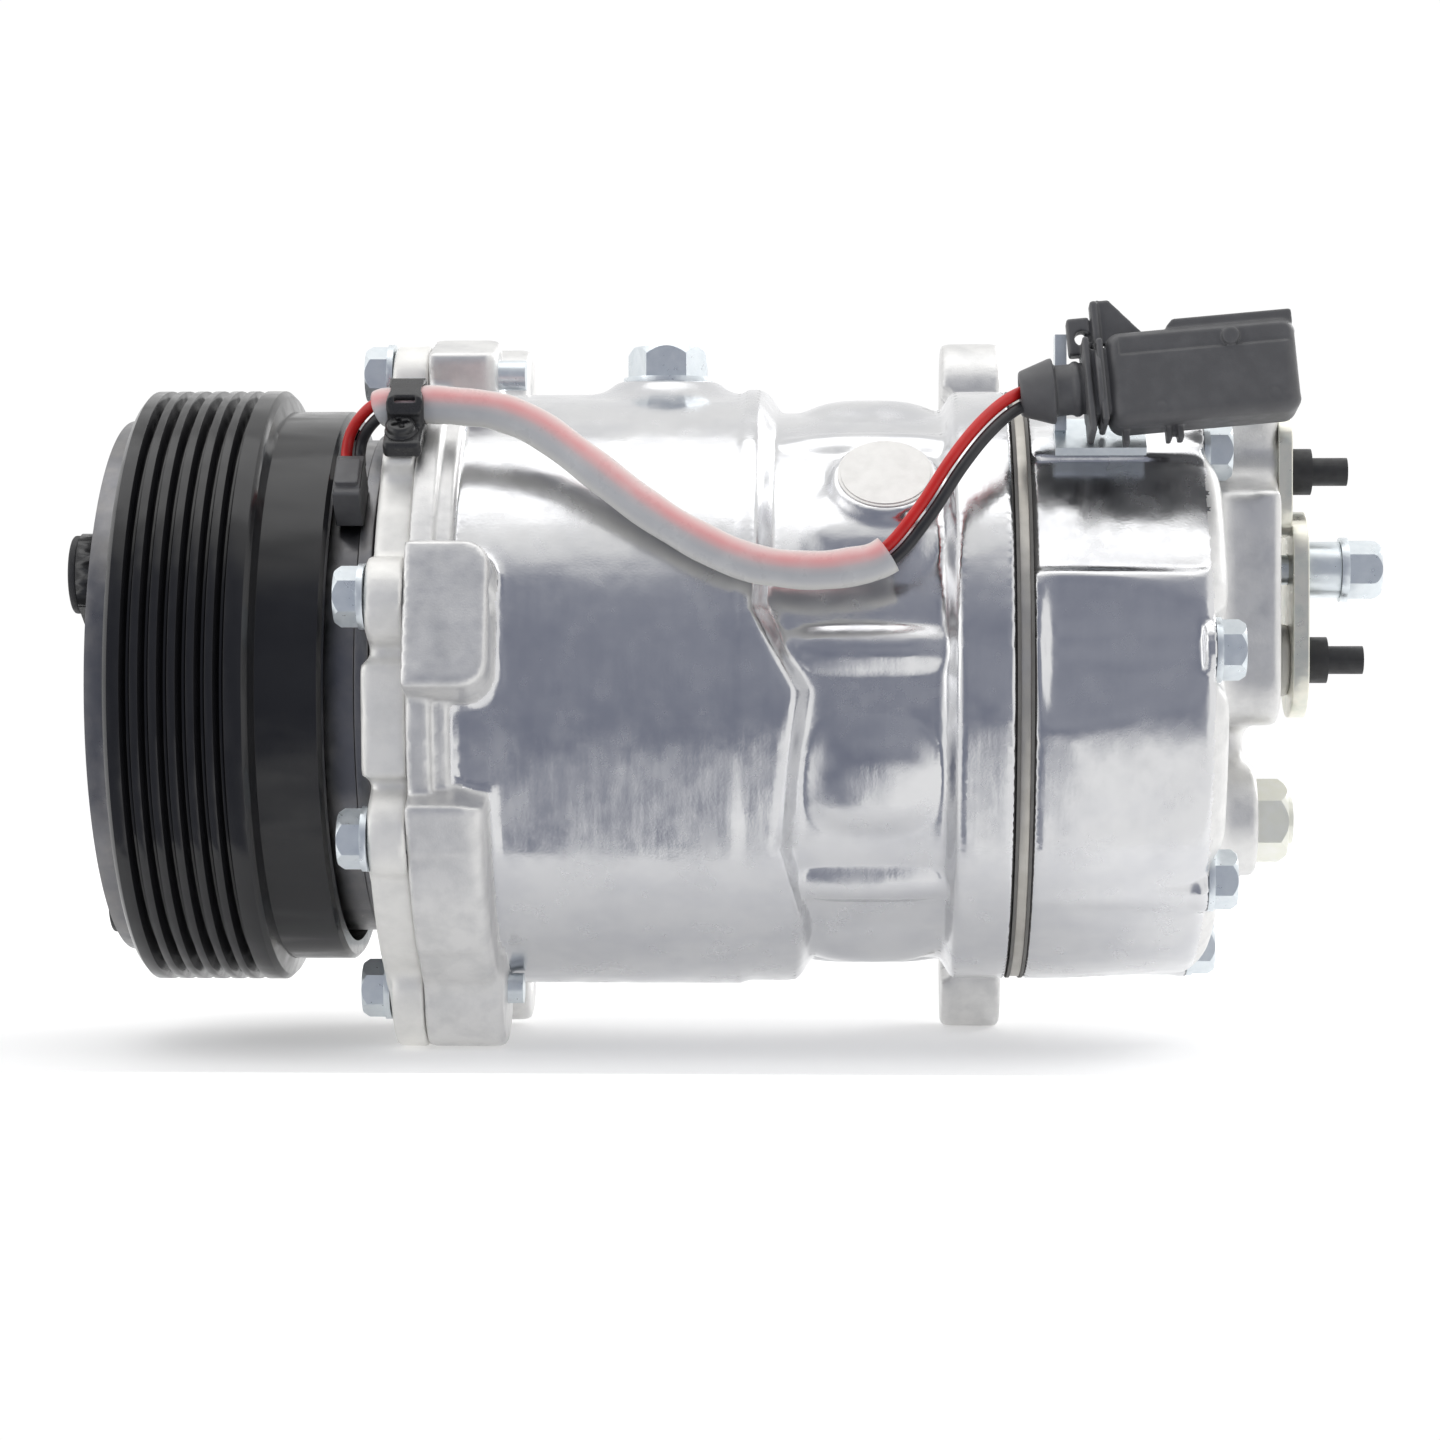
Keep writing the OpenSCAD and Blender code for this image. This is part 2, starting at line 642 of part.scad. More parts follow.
module rear_head() color("silver") difference() {
    union() {
        lathe([[0, head_front], [head_r, head_front], [head_r, head_front + 8], [58.2, head_rear - 4],
               [54.5, head_rear], [0, head_rear]]);
        // ridges of the head bolts
        for (k = [0 : cylinders - 1])
            rod_at(head_bolt_first + cylinder_step * k, head_bolt_r, head_front, head_l - 3, 6.2);
        // port block with the two ports and the screw boss between them
        translate([head_rear - 20, port_y, port_high_z - 19.5]) rotate([0, 90, 0])
            linear_extrude(port_face - head_rear + 20) rounded(62, 34, 9);
        // boss of the relief valve
        translate([head_rear - 2, relief_y, relief_z]) along() cylinder(h = 11, r = 11.5);
        translate([head_rear - 2, 8, -14]) along() cylinder(h = 9, r = 20);
        // control valve boss on the far side
        translate([valve_x, 30, valve_z]) rotate([-90, 0, 0]) cylinder(h = 33, r = 14);
    }
    // suction and discharge chambers
    along(head_front - 1) cylinder(h = 24, r = 24);
    along(head_front - 1) difference() {
        cylinder(h = 24, r = 47.5);
        cylinder(h = 30, r = 28);
    }
    for (k = [0 : cylinders - 1]) {
        rod_at(head_bolt_first + cylinder_step * k, head_bolt_r, head_front - 1, 60, m6_hole_r);
        rod_at(head_bolt_first + cylinder_step * k, head_bolt_r, head_rear - 3, 20, 7.4);
    }
    translate([head_front + 20, port_y, port_high_z]) along() cylinder(h = 40, r = 7.5);
    translate([head_front + 20, port_y, port_low_z]) along() cylinder(h = 40, r = 6.5);
    translate([port_face - 16, port_y, port_screw_z]) along() cylinder(h = 20, r = m6_r + 0.05);
    translate([head_rear - 14, relief_y, relief_z]) along() cylinder(h = 30, r = 5);
    translate([valve_x, 14, valve_z]) rotate([-90, 0, 0]) cylinder(h = 60, r = 11);
    // flats on the near side
    turned(6.5) translate([head_front + 1.8, -80, -40]) cube([head_l - 5, 80 - 57.6, 80]);
    turned(38) translate([head_front + 1.8, -80, -40]) cube([head_l - 8, 80 - 57.8, 80]);
}

module rear_head_bolts() color("silver")
    for (k = [0 : cylinders - 1])
        polar(head_bolt_first + cylinder_step * k, head_bolt_r, head_rear - 3)
            rotate([0, 90, 0]) m6_bolt(head_l + 12);

module control_valve() color("silver") translate([valve_x, 20, valve_z]) rotate([-90, 0, 0]) {
    cylinder(h = 42, r = 10.95);
    translate([0, 0, 43.1]) cylinder(h = 3, r = 12.6);
    translate([0, 0, 42]) cylinder(h = 2, r = 10.5);
    translate([0, 0, 46]) cylinder(h = 4, r = 6);
}

module relief_valve() color("khaki") translate([head_rear + 9, relief_y, relief_z]) along() difference() {
    union() {
        hex_head(14.4, 6.2);
        cylinder(h = 7.4, r = 4.6);
        translate([0, 0, -12]) cylinder(h = 13, r = 4.95);
    }
    translate([0, 0, 3]) cylinder(h = 6, r = 2);
}

module filler_plug() color("silver") translate([filler_x, 0, 60.5]) {
    cylinder(h = 1.2, r = 7.2);
    translate([0, 0, 0.6]) cylinder(h = 1.4, r = 9);
    translate([0, 0, 2]) hex_head(14, 6.2);
    translate([0, 0, -5.6]) cylinder(h = 6.6, r = 4.95);
}

module round_pad() color("whitesmoke") radial(pad_angle, pad_x) translate([0, 0, 58.2]) {
    cylinder(h = 0.6, r = 9.2);
    cylinder(h = 0.8, r = 8.6);
}

// Shipping covers over the ports, held by one screw
module port_covers() color("goldenrod") {
    translate([port_face, port_y, port_high_z - 1]) rotate([0, 90, 0]) difference() {
        linear_extrude(2.8) rounded(24, 20, 6);
        translate([-1, 0, -1]) cylinder(h = 5, r = 3.1);
    }
    translate([port_face + 2.8, port_y, 14]) rotate([0, 90, 0]) difference() {
        linear_extrude(3.2) rounded(41, 22, 10);
        translate([14 - port_low_z, 0, -1]) cylinder(h = 6, r = 3.1);
        translate([14 - port_screw_z, 0, -1]) cylinder(h = 6, r = 3.2);
    }
}

module port_plugs() color("black") {
    translate([port_face + 2.8, port_y, port_high_z]) along() {
        cylinder(h = plug_bulb_l, r = 4.6);
        translate([0, 0, plug_bulb_l - 1]) cylinder(h = 8.2, r = 2.8);
        translate([0, 0, -2.8]) cylinder(h = 3, r = 3);
        translate([0, 0, -6.8]) cylinder(h = 4, r = 4.7);
    }
    translate([port_face + 6, port_y, port_low_z]) along() {
        cylinder(h = plug_bulb_l, r = 4.6);
        translate([0, 0, plug_bulb_l - 1]) cylinder(h = 8.2, r = 2.8);
        translate([0, 0, -6]) cylinder(h = 6.2, r = 3);
        translate([0, 0, -10]) cylinder(h = 4, r = 4.7);
    }
}

// Screw with its spacer sleeve
module cover_screw() color("gold") translate([port_face + 6, port_y, port_screw_z]) along() {
    difference() {
        cylinder(h = 7, r = 5.6);
        translate([0, 0, -1]) cylinder(h = 9, r = m6_r + 0.3);
    }
    translate([0, 0, 7.1]) {
        cylinder(h = 1.5, r = 6.4);
        translate([0, 0, 1.5]) hex_head(10, 6.6);
        translate([0, 0, -24]) cylinder(h = 24.5, r = m6_r);
    }
}

// ---------------------------------------------------------------- wires and connector

// Band over the wires and its screw on the front housing
module wire_clip() color("black") {
    difference() {
        turned(clip_angle) translate([-6, -73.6, -3.4]) cube([7.5, 9.3, 10.1]);
        cord(smooth(wire_route, 2, 7, 2), sleeve_outer_r + 0.4);
    }
    turned(clip_angle) translate([-6.6, -66.6, -9.8]) cube([7, 2.3, 7]);
    radial(clip_angle, -3.1) translate([0, -6.4, 66.6]) cylinder(h = 1.6, r = 3.2);
}

module coil_wires() color("firebrick") {
    path = smooth(wire_route, 0, len(wire_route) - 1, 2);
    for (side = [-1, 1])
        cord(beside(path, side * wire_apart), wire_r);
}

module wire_sleeve() color("whitesmoke", 0.5) difference() {
    cord(smooth(wire_route, sleeve_first, sleeve_last, 1), sleeve_outer_r);
    cord(smooth(wire_route, sleeve_first - 1, sleeve_last + 1, 1), sleeve_inner_r);
}

// Sealed two-way connector, lying along the rear head and rising to the rear
module connector_place() translate([149, -45, 58.4]) rotate([0, -5, 0]) rotate([-8, 0, 0]) children();

module connector_housing() color("dimgray") connector_place() {
    difference() {
        union() {
            rotate([0, 90, 0]) translate([0, 0, -17]) linear_extrude(36) rounded(18, 14, 3);
            translate([-6, -5, 8]) cube([25, 10, 2.4]);
            translate([-14, -2, -12]) cube([4, 4, 4]);
            translate([-4, -2, -12]) cube([4, 4, 4]);
            translate([-23.5, -2, 8.9]) cube([8, 4, 4.1]);
        }
        rotate([0, 90, 0]) translate([0, 0, 4]) linear_extrude(16) rounded(14, 10, 2);
    }
    translate([-17, -1, 8]) linear_extrude(8.5) polygon([[1, 0], [11, 0], [11, 2], [1, 2]]);
}

module connector_boot() color("dimgray") connector_place() rotate([0, 90, 0]) {
    difference() {
        union() {
            translate([0, 0, -20]) cylinder(h = 3, r = 8.6);
            translate([0, 0, -27]) cylinder(h = 7, r = 5);
            translate([0, 0, -33]) cylinder(h = 6, r1 = 3.8, r2 = 6.4);
        }
        translate([0, 0, -34]) cylinder(h = 12, r = 3.1);
    }
}

// Steel strap between the rear head and the connector
module connector_bracket() color("silver") {
    turned(strap_angle) translate([122.6, -61.6, -5]) cube([17.4, 1.8, 10]);
    translate([122.6, -39.4, 49]) cube([2.2, 5.4, 18.4]);
}

// ---------------------------------------------------------------- what is drawn

pulley();
pulley_bearing_outer();
pulley_bearing_inner();
clutch_hub();
hub_dampers();
hub_nut();
armature_plate();
clutch_coil();
coil_winding();
coil_terminal();
front_housing();
front_housing_bolts();
crankcase();
mount_ears();
shaft_seal();
shaft_bearings();
drive_shaft();
lug_plate();
shaft_sleeve();
swash_rotor();
thrust_bearings();
wobble_plate();
valve_plate();
valve_gaskets();
rear_head();
rear_head_bolts();
control_valve();
relief_valve();
filler_plug();
round_pad();
port_covers();
port_plugs();
cover_screw();
wire_clip();
coil_wires();
wire_sleeve();
connector_housing();
connector_boot();
connector_bracket();
for (k = [1 : 7]) {
    ball_seat(k);
    piston_rod(k);
    piston(k);
}
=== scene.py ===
import json
import math

import bpy
import numpy as np
import openvdb
from mathutils import Matrix, Vector


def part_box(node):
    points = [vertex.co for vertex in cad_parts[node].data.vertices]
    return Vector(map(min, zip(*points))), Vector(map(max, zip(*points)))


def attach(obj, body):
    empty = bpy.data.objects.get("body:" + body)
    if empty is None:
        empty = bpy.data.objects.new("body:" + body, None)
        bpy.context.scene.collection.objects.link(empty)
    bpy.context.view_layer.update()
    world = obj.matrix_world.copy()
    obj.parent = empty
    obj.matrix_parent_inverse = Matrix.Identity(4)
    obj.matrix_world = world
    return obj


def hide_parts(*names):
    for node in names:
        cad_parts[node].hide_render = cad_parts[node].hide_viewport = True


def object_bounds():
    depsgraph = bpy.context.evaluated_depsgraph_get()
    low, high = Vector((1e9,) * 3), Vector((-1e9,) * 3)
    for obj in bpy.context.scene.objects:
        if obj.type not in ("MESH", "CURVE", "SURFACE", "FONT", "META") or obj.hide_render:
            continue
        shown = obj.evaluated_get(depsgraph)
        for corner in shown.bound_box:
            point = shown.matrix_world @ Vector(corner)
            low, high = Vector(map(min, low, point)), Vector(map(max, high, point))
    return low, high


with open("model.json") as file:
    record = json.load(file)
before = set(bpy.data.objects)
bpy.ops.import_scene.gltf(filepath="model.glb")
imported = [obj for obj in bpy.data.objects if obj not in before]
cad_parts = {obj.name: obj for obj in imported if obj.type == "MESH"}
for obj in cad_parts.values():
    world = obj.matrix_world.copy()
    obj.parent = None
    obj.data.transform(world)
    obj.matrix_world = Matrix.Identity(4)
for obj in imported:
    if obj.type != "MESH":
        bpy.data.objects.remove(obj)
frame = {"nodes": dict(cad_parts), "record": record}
cad_low, cad_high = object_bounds()
NODES = frame["nodes"]
MM = 0.001
SCENE = bpy.context.scene

# ------------------------------------------------------------ camera and light

LENS_MM, SENSOR_MM = 89.55, 36
CAMERA_AT = Vector((83.12, -730.6, -0.31)) * MM
YAW, PITCH_DOWN = math.radians(2.07), math.radians(0.533)
CLIP_NEAR, CLIP_FAR = 0.01, 50
LIGHTS_AIM = Vector((0.05, 0, 0))
# name: place, size and power
LIGHTS = {
    "top_light": ((0.05, -0.05, 0.9), (1.4, 0.7), 2.5),
    "left_light": ((-1.0, -0.5, 0.35), (0.5, 0.9), 1.5),
    "rear_light": ((0.9, 0.8, 0.6), (0.7, 0.7), 5)}


def add_object(name, data):
    obj = bpy.data.objects.new(name, data)
    SCENE.collection.objects.link(obj)
    return obj


def make_camera():
    data = bpy.data.cameras.new("camera")
    data.lens = LENS_MM
    data.sensor_width = SENSOR_MM
    data.clip_start = CLIP_NEAR
    data.clip_end = CLIP_FAR
    cam = add_object("camera", data)
    cam.location = CAMERA_AT
    level = math.cos(PITCH_DOWN)
    look = Vector((-math.sin(YAW) * level, math.cos(YAW) * level, -math.sin(PITCH_DOWN)))
    cam.rotation_euler = look.to_track_quat("-Z", "Y").to_euler()
    SCENE.camera = cam


def make_light(name, at, size, power):
    data = bpy.data.lights.new(name, "AREA")
    data.shape = "RECTANGLE"
    data.size, data.size_y = size
    data.energy = power
    lamp = add_object(name, data)
    lamp.location = at
    lamp.rotation_euler = (LIGHTS_AIM - Vector(at)).to_track_quat("-Z", "Y").to_euler()
    lamp.visible_camera = False


make_camera()
SCENE.view_settings.view_transform = "Standard"
for light_name, light in LIGHTS.items():
    make_light(light_name, *light)

# ------------------------------------------------------------ shader nodes


class Nodes:
    """Adds nodes to a tree: constants go on their sockets, and other nodes' outputs are linked."""

    def __init__(self, tree):
        self.tree = tree

    def put(self, value, socket):
        if isinstance(value, bpy.types.NodeSocket):
            self.tree.links.new(value, socket)
        else:
            socket.default_value = value

    def add(self, kind, inputs=None, **settings):
        node = self.tree.nodes.new(kind)
        for key, value in settings.items():
            setattr(node, key, value)
        for key, value in (inputs or {}).items():
            self.put(value, node.inputs[key])
        return node

    def ramp(self, source, low, high, to_low=0.0, to_high=1.0, way="LINEAR"):
        values = {"Value": source, "From Min": low, "From Max": high, "To Min": to_low, "To Max": to_high}
        return self.add("ShaderNodeMapRange", values, interpolation_type=way).outputs["Result"]

    def step(self, source, low, high):
        return self.ramp(source, low, high, way="SMOOTHSTEP")

    def maths(self, operation, *sources):
        return self.add("ShaderNodeMath", dict(enumerate(sources)), operation=operation).outputs[0]

    def blend(self, factor, first, second):
        values = {"Factor": factor, "A": first, "B": second}
        return self.add("ShaderNodeMix", values, data_type="RGBA").outputs["Result"]


# ------------------------------------------------------------ studio

SIDES, ABOVE = (1, 1, 1, 1), (0.93, 0.93, 0.925, 1)
ABOVE_FROM, ABOVE_TO = 0.3, 0.7
DARK_ONE, DARK_TWO = (0.22, 0.235, 0.295, 1), (0.33, 0.345, 0.4, 1)
# the dark side in front of the object, in directions from -1 to 1: where it fades at the back, at the left
# and right and at the top, and how its lower edge falls from one X to another
DARK_FRONT, DARK_WIDE, DARK_TOP = (0.12, -0.12), (0.72, 0.42), (0.84, 0.66)
EDGE_X, EDGE_Z, EDGE_SOFT = (-0.045, 0.06), (-0.96, -0.32), (-0.02, 0.03)
CLOUD_SCALE, CLOUD_DETAIL, CLOUD_RANGE = 2.2, 1, (0.35, 0.65)
WORLD_STRENGTH = 1.02

FLOOR_X, FLOOR_Y = (-1.6, 1.8), (-0.069, 1.6)
FLOOR_COLOUR, FLOOR_GLOW, FLOOR_ROUGH = (0.8, 0.8, 0.8, 1), 0.3, 0.7


def make_world():
    """White round the sides, a little less above, and a blue-grey side in front that the metal mirrors."""
    world = bpy.data.worlds.new("studio")
    SCENE.world = world
    world.use_nodes = True
    world.node_tree.nodes.clear()
    kit = Nodes(world.node_tree)
    way = kit.add("ShaderNodeTexCoord").outputs["Generated"]
    x, y, z = kit.add("ShaderNodeSeparateXYZ", {0: way}).outputs
    lower_edge = kit.ramp(x, *EDGE_X, *EDGE_Z)
    over_edge = kit.step(kit.maths("SUBTRACT", z, lower_edge), *EDGE_SOFT)
    dark = kit.maths("MULTIPLY", kit.step(z, *DARK_TOP), over_edge)
    dark = kit.maths("MULTIPLY", kit.step(y, *DARK_FRONT), dark)
    dark = kit.maths("MULTIPLY", kit.step(kit.maths("ABSOLUTE", x), *DARK_WIDE), dark)
    clouds = kit.add("ShaderNodeTexNoise", {"Vector": way, "Scale": CLOUD_SCALE, "Detail": CLOUD_DETAIL})
    shade = kit.blend(kit.ramp(clouds.outputs["Fac"], *CLOUD_RANGE), DARK_ONE, DARK_TWO)
    sky = kit.blend(kit.step(z, ABOVE_FROM, ABOVE_TO), SIDES, ABOVE)
    back = kit.add("ShaderNodeBackground", {"Color": kit.blend(dark, sky, shade), "Strength": WORLD_STRENGTH})
    kit.add("ShaderNodeOutputWorld", {0: back.outputs[0]})


def make_floor():
    """A plain pale floor under and behind the object."""
    z = cad_low[2]
    (left, right), (front, back) = FLOOR_X, FLOOR_Y
    mesh = bpy.data.meshes.new("floor")
    corners = [(left, front, z), (right, front, z), (right, back, z), (left, back, z)]
    mesh.from_pydata(corners, [], [(0, 1, 2, 3)])
    add_object("floor", mesh)
    mat = bpy.data.materials.new("pale_floor")
    mat.use_nodes = True
    shader = mat.node_tree.nodes["Principled BSDF"]
    shader.inputs["Base Color"].default_value = FLOOR_COLOUR
    shader.inputs["Emission Color"].default_value = SIDES
    shader.inputs["Emission Strength"].default_value = FLOOR_GLOW
    shader.inputs["Roughness"].default_value = FLOOR_ROUGH
    mesh.materials.append(mat)


make_world()
make_floor()

# ------------------------------------------------------------ materials

PATCH_RANGE, ROUGH_RANGE = (0.42, 0.68), (0.3, 0.7)
ROUGH_PATCHES = 0.6


class Surface(Nodes):
    """A Principled material whose colour, roughness and bump come from noise in the object's own metres."""

    def __init__(self, name, colour, metallic=0.0, alpha=1.0):
        self.mat = bpy.data.materials.new(name)
        self.mat.use_nodes = True
        super().__init__(self.mat.node_tree)
        self.shader = self.tree.nodes["Principled BSDF"].inputs
        self.shader["Metallic"].default_value = metallic
        self.shader["Alpha"].default_value = alpha
        self.place = self.add("ShaderNodeTexCoord").outputs["Object"]
        self.colour = colour
        self.normal = None

    def noise(self, size_mm, detail, stretch=(1, 1, 1)):
        scale = [s / (size_mm * MM) for s in stretch]
        place = self.add("ShaderNodeMapping", {"Vector": self.place, "Scale": scale}).outputs[0]
        values = {"Vector": place, "Scale": 1, "Detail": detail, "Roughness": 0.55}
        return self.add("ShaderNodeTexNoise", values).outputs["Fac"]

    def tint(self, source, colour, low, high, amount):
        """Blends towards colour where the noise is high."""
        self.colour = self.blend(self.ramp(source, low, high, 0, amount), self.colour, (*colour, 1))
        self.put(self.colour, self.shader["Base Color"])

    def roughness(self, source, low, high):
        self.put(self.ramp(source, *ROUGH_RANGE, low, high), self.shader["Roughness"])

    def bump(self, source, depth_mm):
        node = self.add("ShaderNodeBump", {"Strength": 1, "Distance": depth_mm * MM, "Height": source})
        if self.normal is not None:
            self.put(self.normal, node.inputs["Normal"])
        self.normal = node.outputs["Normal"]
        self.put(self.normal, self.shader["Normal"])


def surface(name, colour, tint, amount, rough, metallic=0.0, spread=0.08, patch_mm=4, grain_mm=0.3,
            grain_depth=0.02, stretch=(1, 1, 1), wave=None, streak=None):
    """The common build: patches of roughness, a fine grain, and stains of a second colour.

    wave and streak are coarser bumps: size and depth in millimetres, and the streak's stretch."""
    s = Surface(name, (*colour, 1), metallic)
    s.roughness(s.noise(patch_mm * ROUGH_PATCHES, 5, stretch), rough - spread, rough + spread)
    s.tint(s.noise(patch_mm, 4), tint, *PATCH_RANGE, amount)
    if wave:
        s.bump(s.noise(wave[0], 2), wave[1])
    if streak:
        s.bump(s.noise(streak[0], 2, streak[2]), streak[1])
    s.bump(s.noise(grain_mm, 3, stretch), grain_depth)
    return s.mat


def sleeve_material():
    """Milky tube whose wall takes the wires' tints, from the mesh's own colour attribute."""
    s = Surface("milky_sleeve", None, alpha=0.82)
    s.colour = s.add("ShaderNodeVertexColor", layer_name="tint").outputs["Color"]
    s.tint(s.noise(7, 3), (0.86, 0.86, 0.84), 0.45, 0.75, 0.25)
    s.roughness(s.noise(5, 4), 0.22, 0.42)
    s.bump(s.noise(2.5, 3), 0.05)
    return s.mat


MATERIALS = {
    "casting": surface(
        "die_cast_alloy", (0.71, 0.712, 0.722), (0.62, 0.625, 0.65), 0.7, rough=0.22, metallic=1, spread=0.1,
        patch_mm=11, grain_mm=0.5, grain_depth=0.012, wave=(14, 0.3), streak=(3.2, 0.05, (1, 0.16, 0.16))),
    "rough_casting": surface(
        "as_cast_alloy", (0.78, 0.775, 0.765), (0.62, 0.62, 0.62), 0.6, rough=0.47, metallic=0.9, spread=0.06,
        patch_mm=5, grain_mm=0.4, grain_depth=0.035, wave=(7, 0.12)),
    "front_housing": surface(
        "matt_cast_alloy", (0.9, 0.89, 0.86), (0.76, 0.755, 0.73), 0.5, rough=0.55, metallic=0.6,
        patch_mm=5, grain_mm=0.4, grain_depth=0.03, wave=(9, 0.15)),
    "pulley": surface(
        "black_coat", (0.0105, 0.0105, 0.012), (0.014, 0.014, 0.016), 0.6, rough=0.2, spread=0.05,
        patch_mm=6, grain_mm=0.5, grain_depth=0.006),
    "zinc": surface(
        "bright_zinc", (0.8, 0.85, 0.88), (0.7, 0.76, 0.8), 0.6, rough=0.34, metallic=0.72,
        patch_mm=2.5, grain_mm=0.25, grain_depth=0.012),
    "zinc_yellow": surface(
        "yellow_zinc", (0.86, 0.84, 0.74), (0.74, 0.76, 0.68), 0.8, rough=0.34, metallic=0.75,
        patch_mm=3, grain_depth=0.012),
    "steel": surface(
        "ground_steel", (0.6, 0.6, 0.61), (0.5, 0.5, 0.52), 0.4, rough=0.25, metallic=1, spread=0.06,
        grain_depth=0.01),
    "dark_steel": surface(
        "oiled_steel", (0.2, 0.2, 0.21), (0.28, 0.27, 0.26), 0.5, rough=0.35, metallic=1,
        patch_mm=5, grain_depth=0.012),
    "iron": surface(
        "machined_iron", (0.33, 0.33, 0.34), (0.25, 0.25, 0.26), 0.5, rough=0.42, metallic=1,
        patch_mm=5, grain_mm=0.5),
    "rubber": surface(
        "black_rubber", (0.022, 0.022, 0.023), (0.035, 0.035, 0.037), 0.6, rough=0.55, spread=0.1,
        patch_mm=3, grain_mm=0.25),
    "plastic": surface("moulded_nylon", (0.1, 0.1, 0.103), (0.13, 0.13, 0.134), 0.6, rough=0.48),
    "resin": surface(
        "potting_resin", (0.06, 0.035, 0.025), (0.1, 0.06, 0.04), 0.5, rough=0.5, spread=0.1,
        patch_mm=5, grain_mm=0.6),
    "brass": surface(
        "sintered_bronze", (0.72, 0.55, 0.28), (0.6, 0.45, 0.25), 0.5, rough=0.36, metallic=1,
        patch_mm=3, grain_depth=0.01),
    "olive_zinc": surface(
        "olive_plating", (0.88, 0.88, 0.79), (0.92, 0.92, 0.87), 0.7, rough=0.42, metallic=0.45,
        patch_mm=3, grain_depth=0.01),
    "plate": surface(
        "phosphated_edge", (0.5, 0.48, 0.44), (0.62, 0.6, 0.56), 0.7, rough=0.42, metallic=0.9,
        patch_mm=6, stretch=(0.3, 1, 1)),
    "gasket": surface(
        "coated_fibre", (0.17, 0.165, 0.155), (0.12, 0.115, 0.11), 0.6, rough=0.7, spread=0.1, grain_mm=0.4),
    "pad": surface(
        "pale_pad", (0.74, 0.73, 0.71), (0.64, 0.63, 0.61), 0.5, rough=0.42, metallic=0.5, spread=0.06,
        patch_mm=3, grain_mm=0.35, grain_depth=0.012),
    "black_steel": surface(
        "black_clip", (0.03, 0.03, 0.031), (0.03, 0.03, 0.032), 0.5, rough=0.3, patch_mm=3,
        grain_depth=0.012),
    "red_wire": surface(
        "red_insulation", (0.62, 0.012, 0.01), (0.5, 0.008, 0.008), 0.5, rough=0.36, grain_depth=0.01),
    "black_wire": surface(
        "black_insulation", (0.022, 0.022, 0.025), (0.035, 0.035, 0.04), 0.5, rough=0.36, grain_depth=0.01),
    "sleeve": sleeve_material(),
}

# the material of each slot of the record
SLOT_MATERIAL = {
    "pulley": "pulley", "bearing_steel": "steel", "clutch_hub": "black_steel", "damper_rubber": "rubber",
    "bolt_zinc": "zinc", "armature_plate": "dark_steel", "coil_shell": "dark_steel", "coil_winding": "resin",
    "coil_terminal": "plastic", "front_housing": "front_housing",
    "crankcase": "casting", "rear_head": "casting", "seal_rubber": "rubber", "shaft_steel": "steel",
    "drive_iron": "iron", "wobble_plate": "casting", "ball_seat": "brass", "piston_rod": "steel",
    "piston": "casting", "valve_plate": "plate", "gasket": "gasket", "valve_brass": "olive_zinc",
    "round_pad": "pad", "zinc_yellow": "zinc_yellow", "plug_rubber": "rubber", "wire_clip": "black_steel",
    "wire_insulation": "red_wire", "wire_sleeve": "sleeve", "connector": "plastic", "boot": "plastic",
    "bracket": "zinc"}

for part in frame["record"]["subparts"]:
    mesh = NODES[part["node"]].data
    mesh.materials.clear()
    mesh.materials.append(MATERIALS[SLOT_MATERIAL[part["material_slot"]]])

# ------------------------------------------------------------ edges of the kept CAD nodes

WELD_WITHIN = 0.000002
BEVEL_STEPS, BEVEL_OVER = 3, math.radians(28)
# bevel widths in millimetres
ROUNDED = {
    "pulley": 0.35, "front_housing_bolts": 0.35, "rear_head_bolts": 0.35, "filler_plug": 0.45,
    "relief_valve": 0.35, "port_covers": 0.3, "port_plugs": 1.2, "cover_screw": 0.4, "clutch_hub": 0.4,
    "hub_nut": 0.3, "hub_dampers": 0.4, "armature_plate": 0.3, "connector_bracket": 0.3,
    "coil_terminal": 0.5, "control_valve": 0.4, "valve_plate": 0.1, "drive_shaft": 0.3, "clutch_coil": 0.4,
    "round_pad": 0.15}


def round_edges(node, width_mm):
    obj = NODES[node]
    weld = obj.modifiers.new("weld", "WELD")
    weld.merge_threshold = WELD_WITHIN
    bevel = obj.modifiers.new("bevel", "BEVEL")
    bevel.width = width_mm * MM
    bevel.segments = BEVEL_STEPS
    bevel.limit_method = "ANGLE"
    bevel.angle_limit = BEVEL_OVER
    bevel.use_clamp_overlap = True
    bevel.harden_normals = True


for node_name, width in ROUNDED.items():
    round_edges(node_name, width)

# ------------------------------------------------------------ solid fields, for castings and mouldings


def add_mesh(name, points, faces, material, replaced):
    """A new piece of the housing from points in millimetres, in place of CAD nodes."""
    mesh = bpy.data.meshes.new(name)
    mesh.from_pydata((np.asarray(points, float) * MM).tolist(), [], [list(map(int, f)) for f in faces])
    mesh.validate()
    mesh.shade_smooth()
    mesh.materials.append(MATERIALS[material])
    obj = add_object(name, mesh)
    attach(obj, "housing")
    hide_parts(*replaced)
    return obj


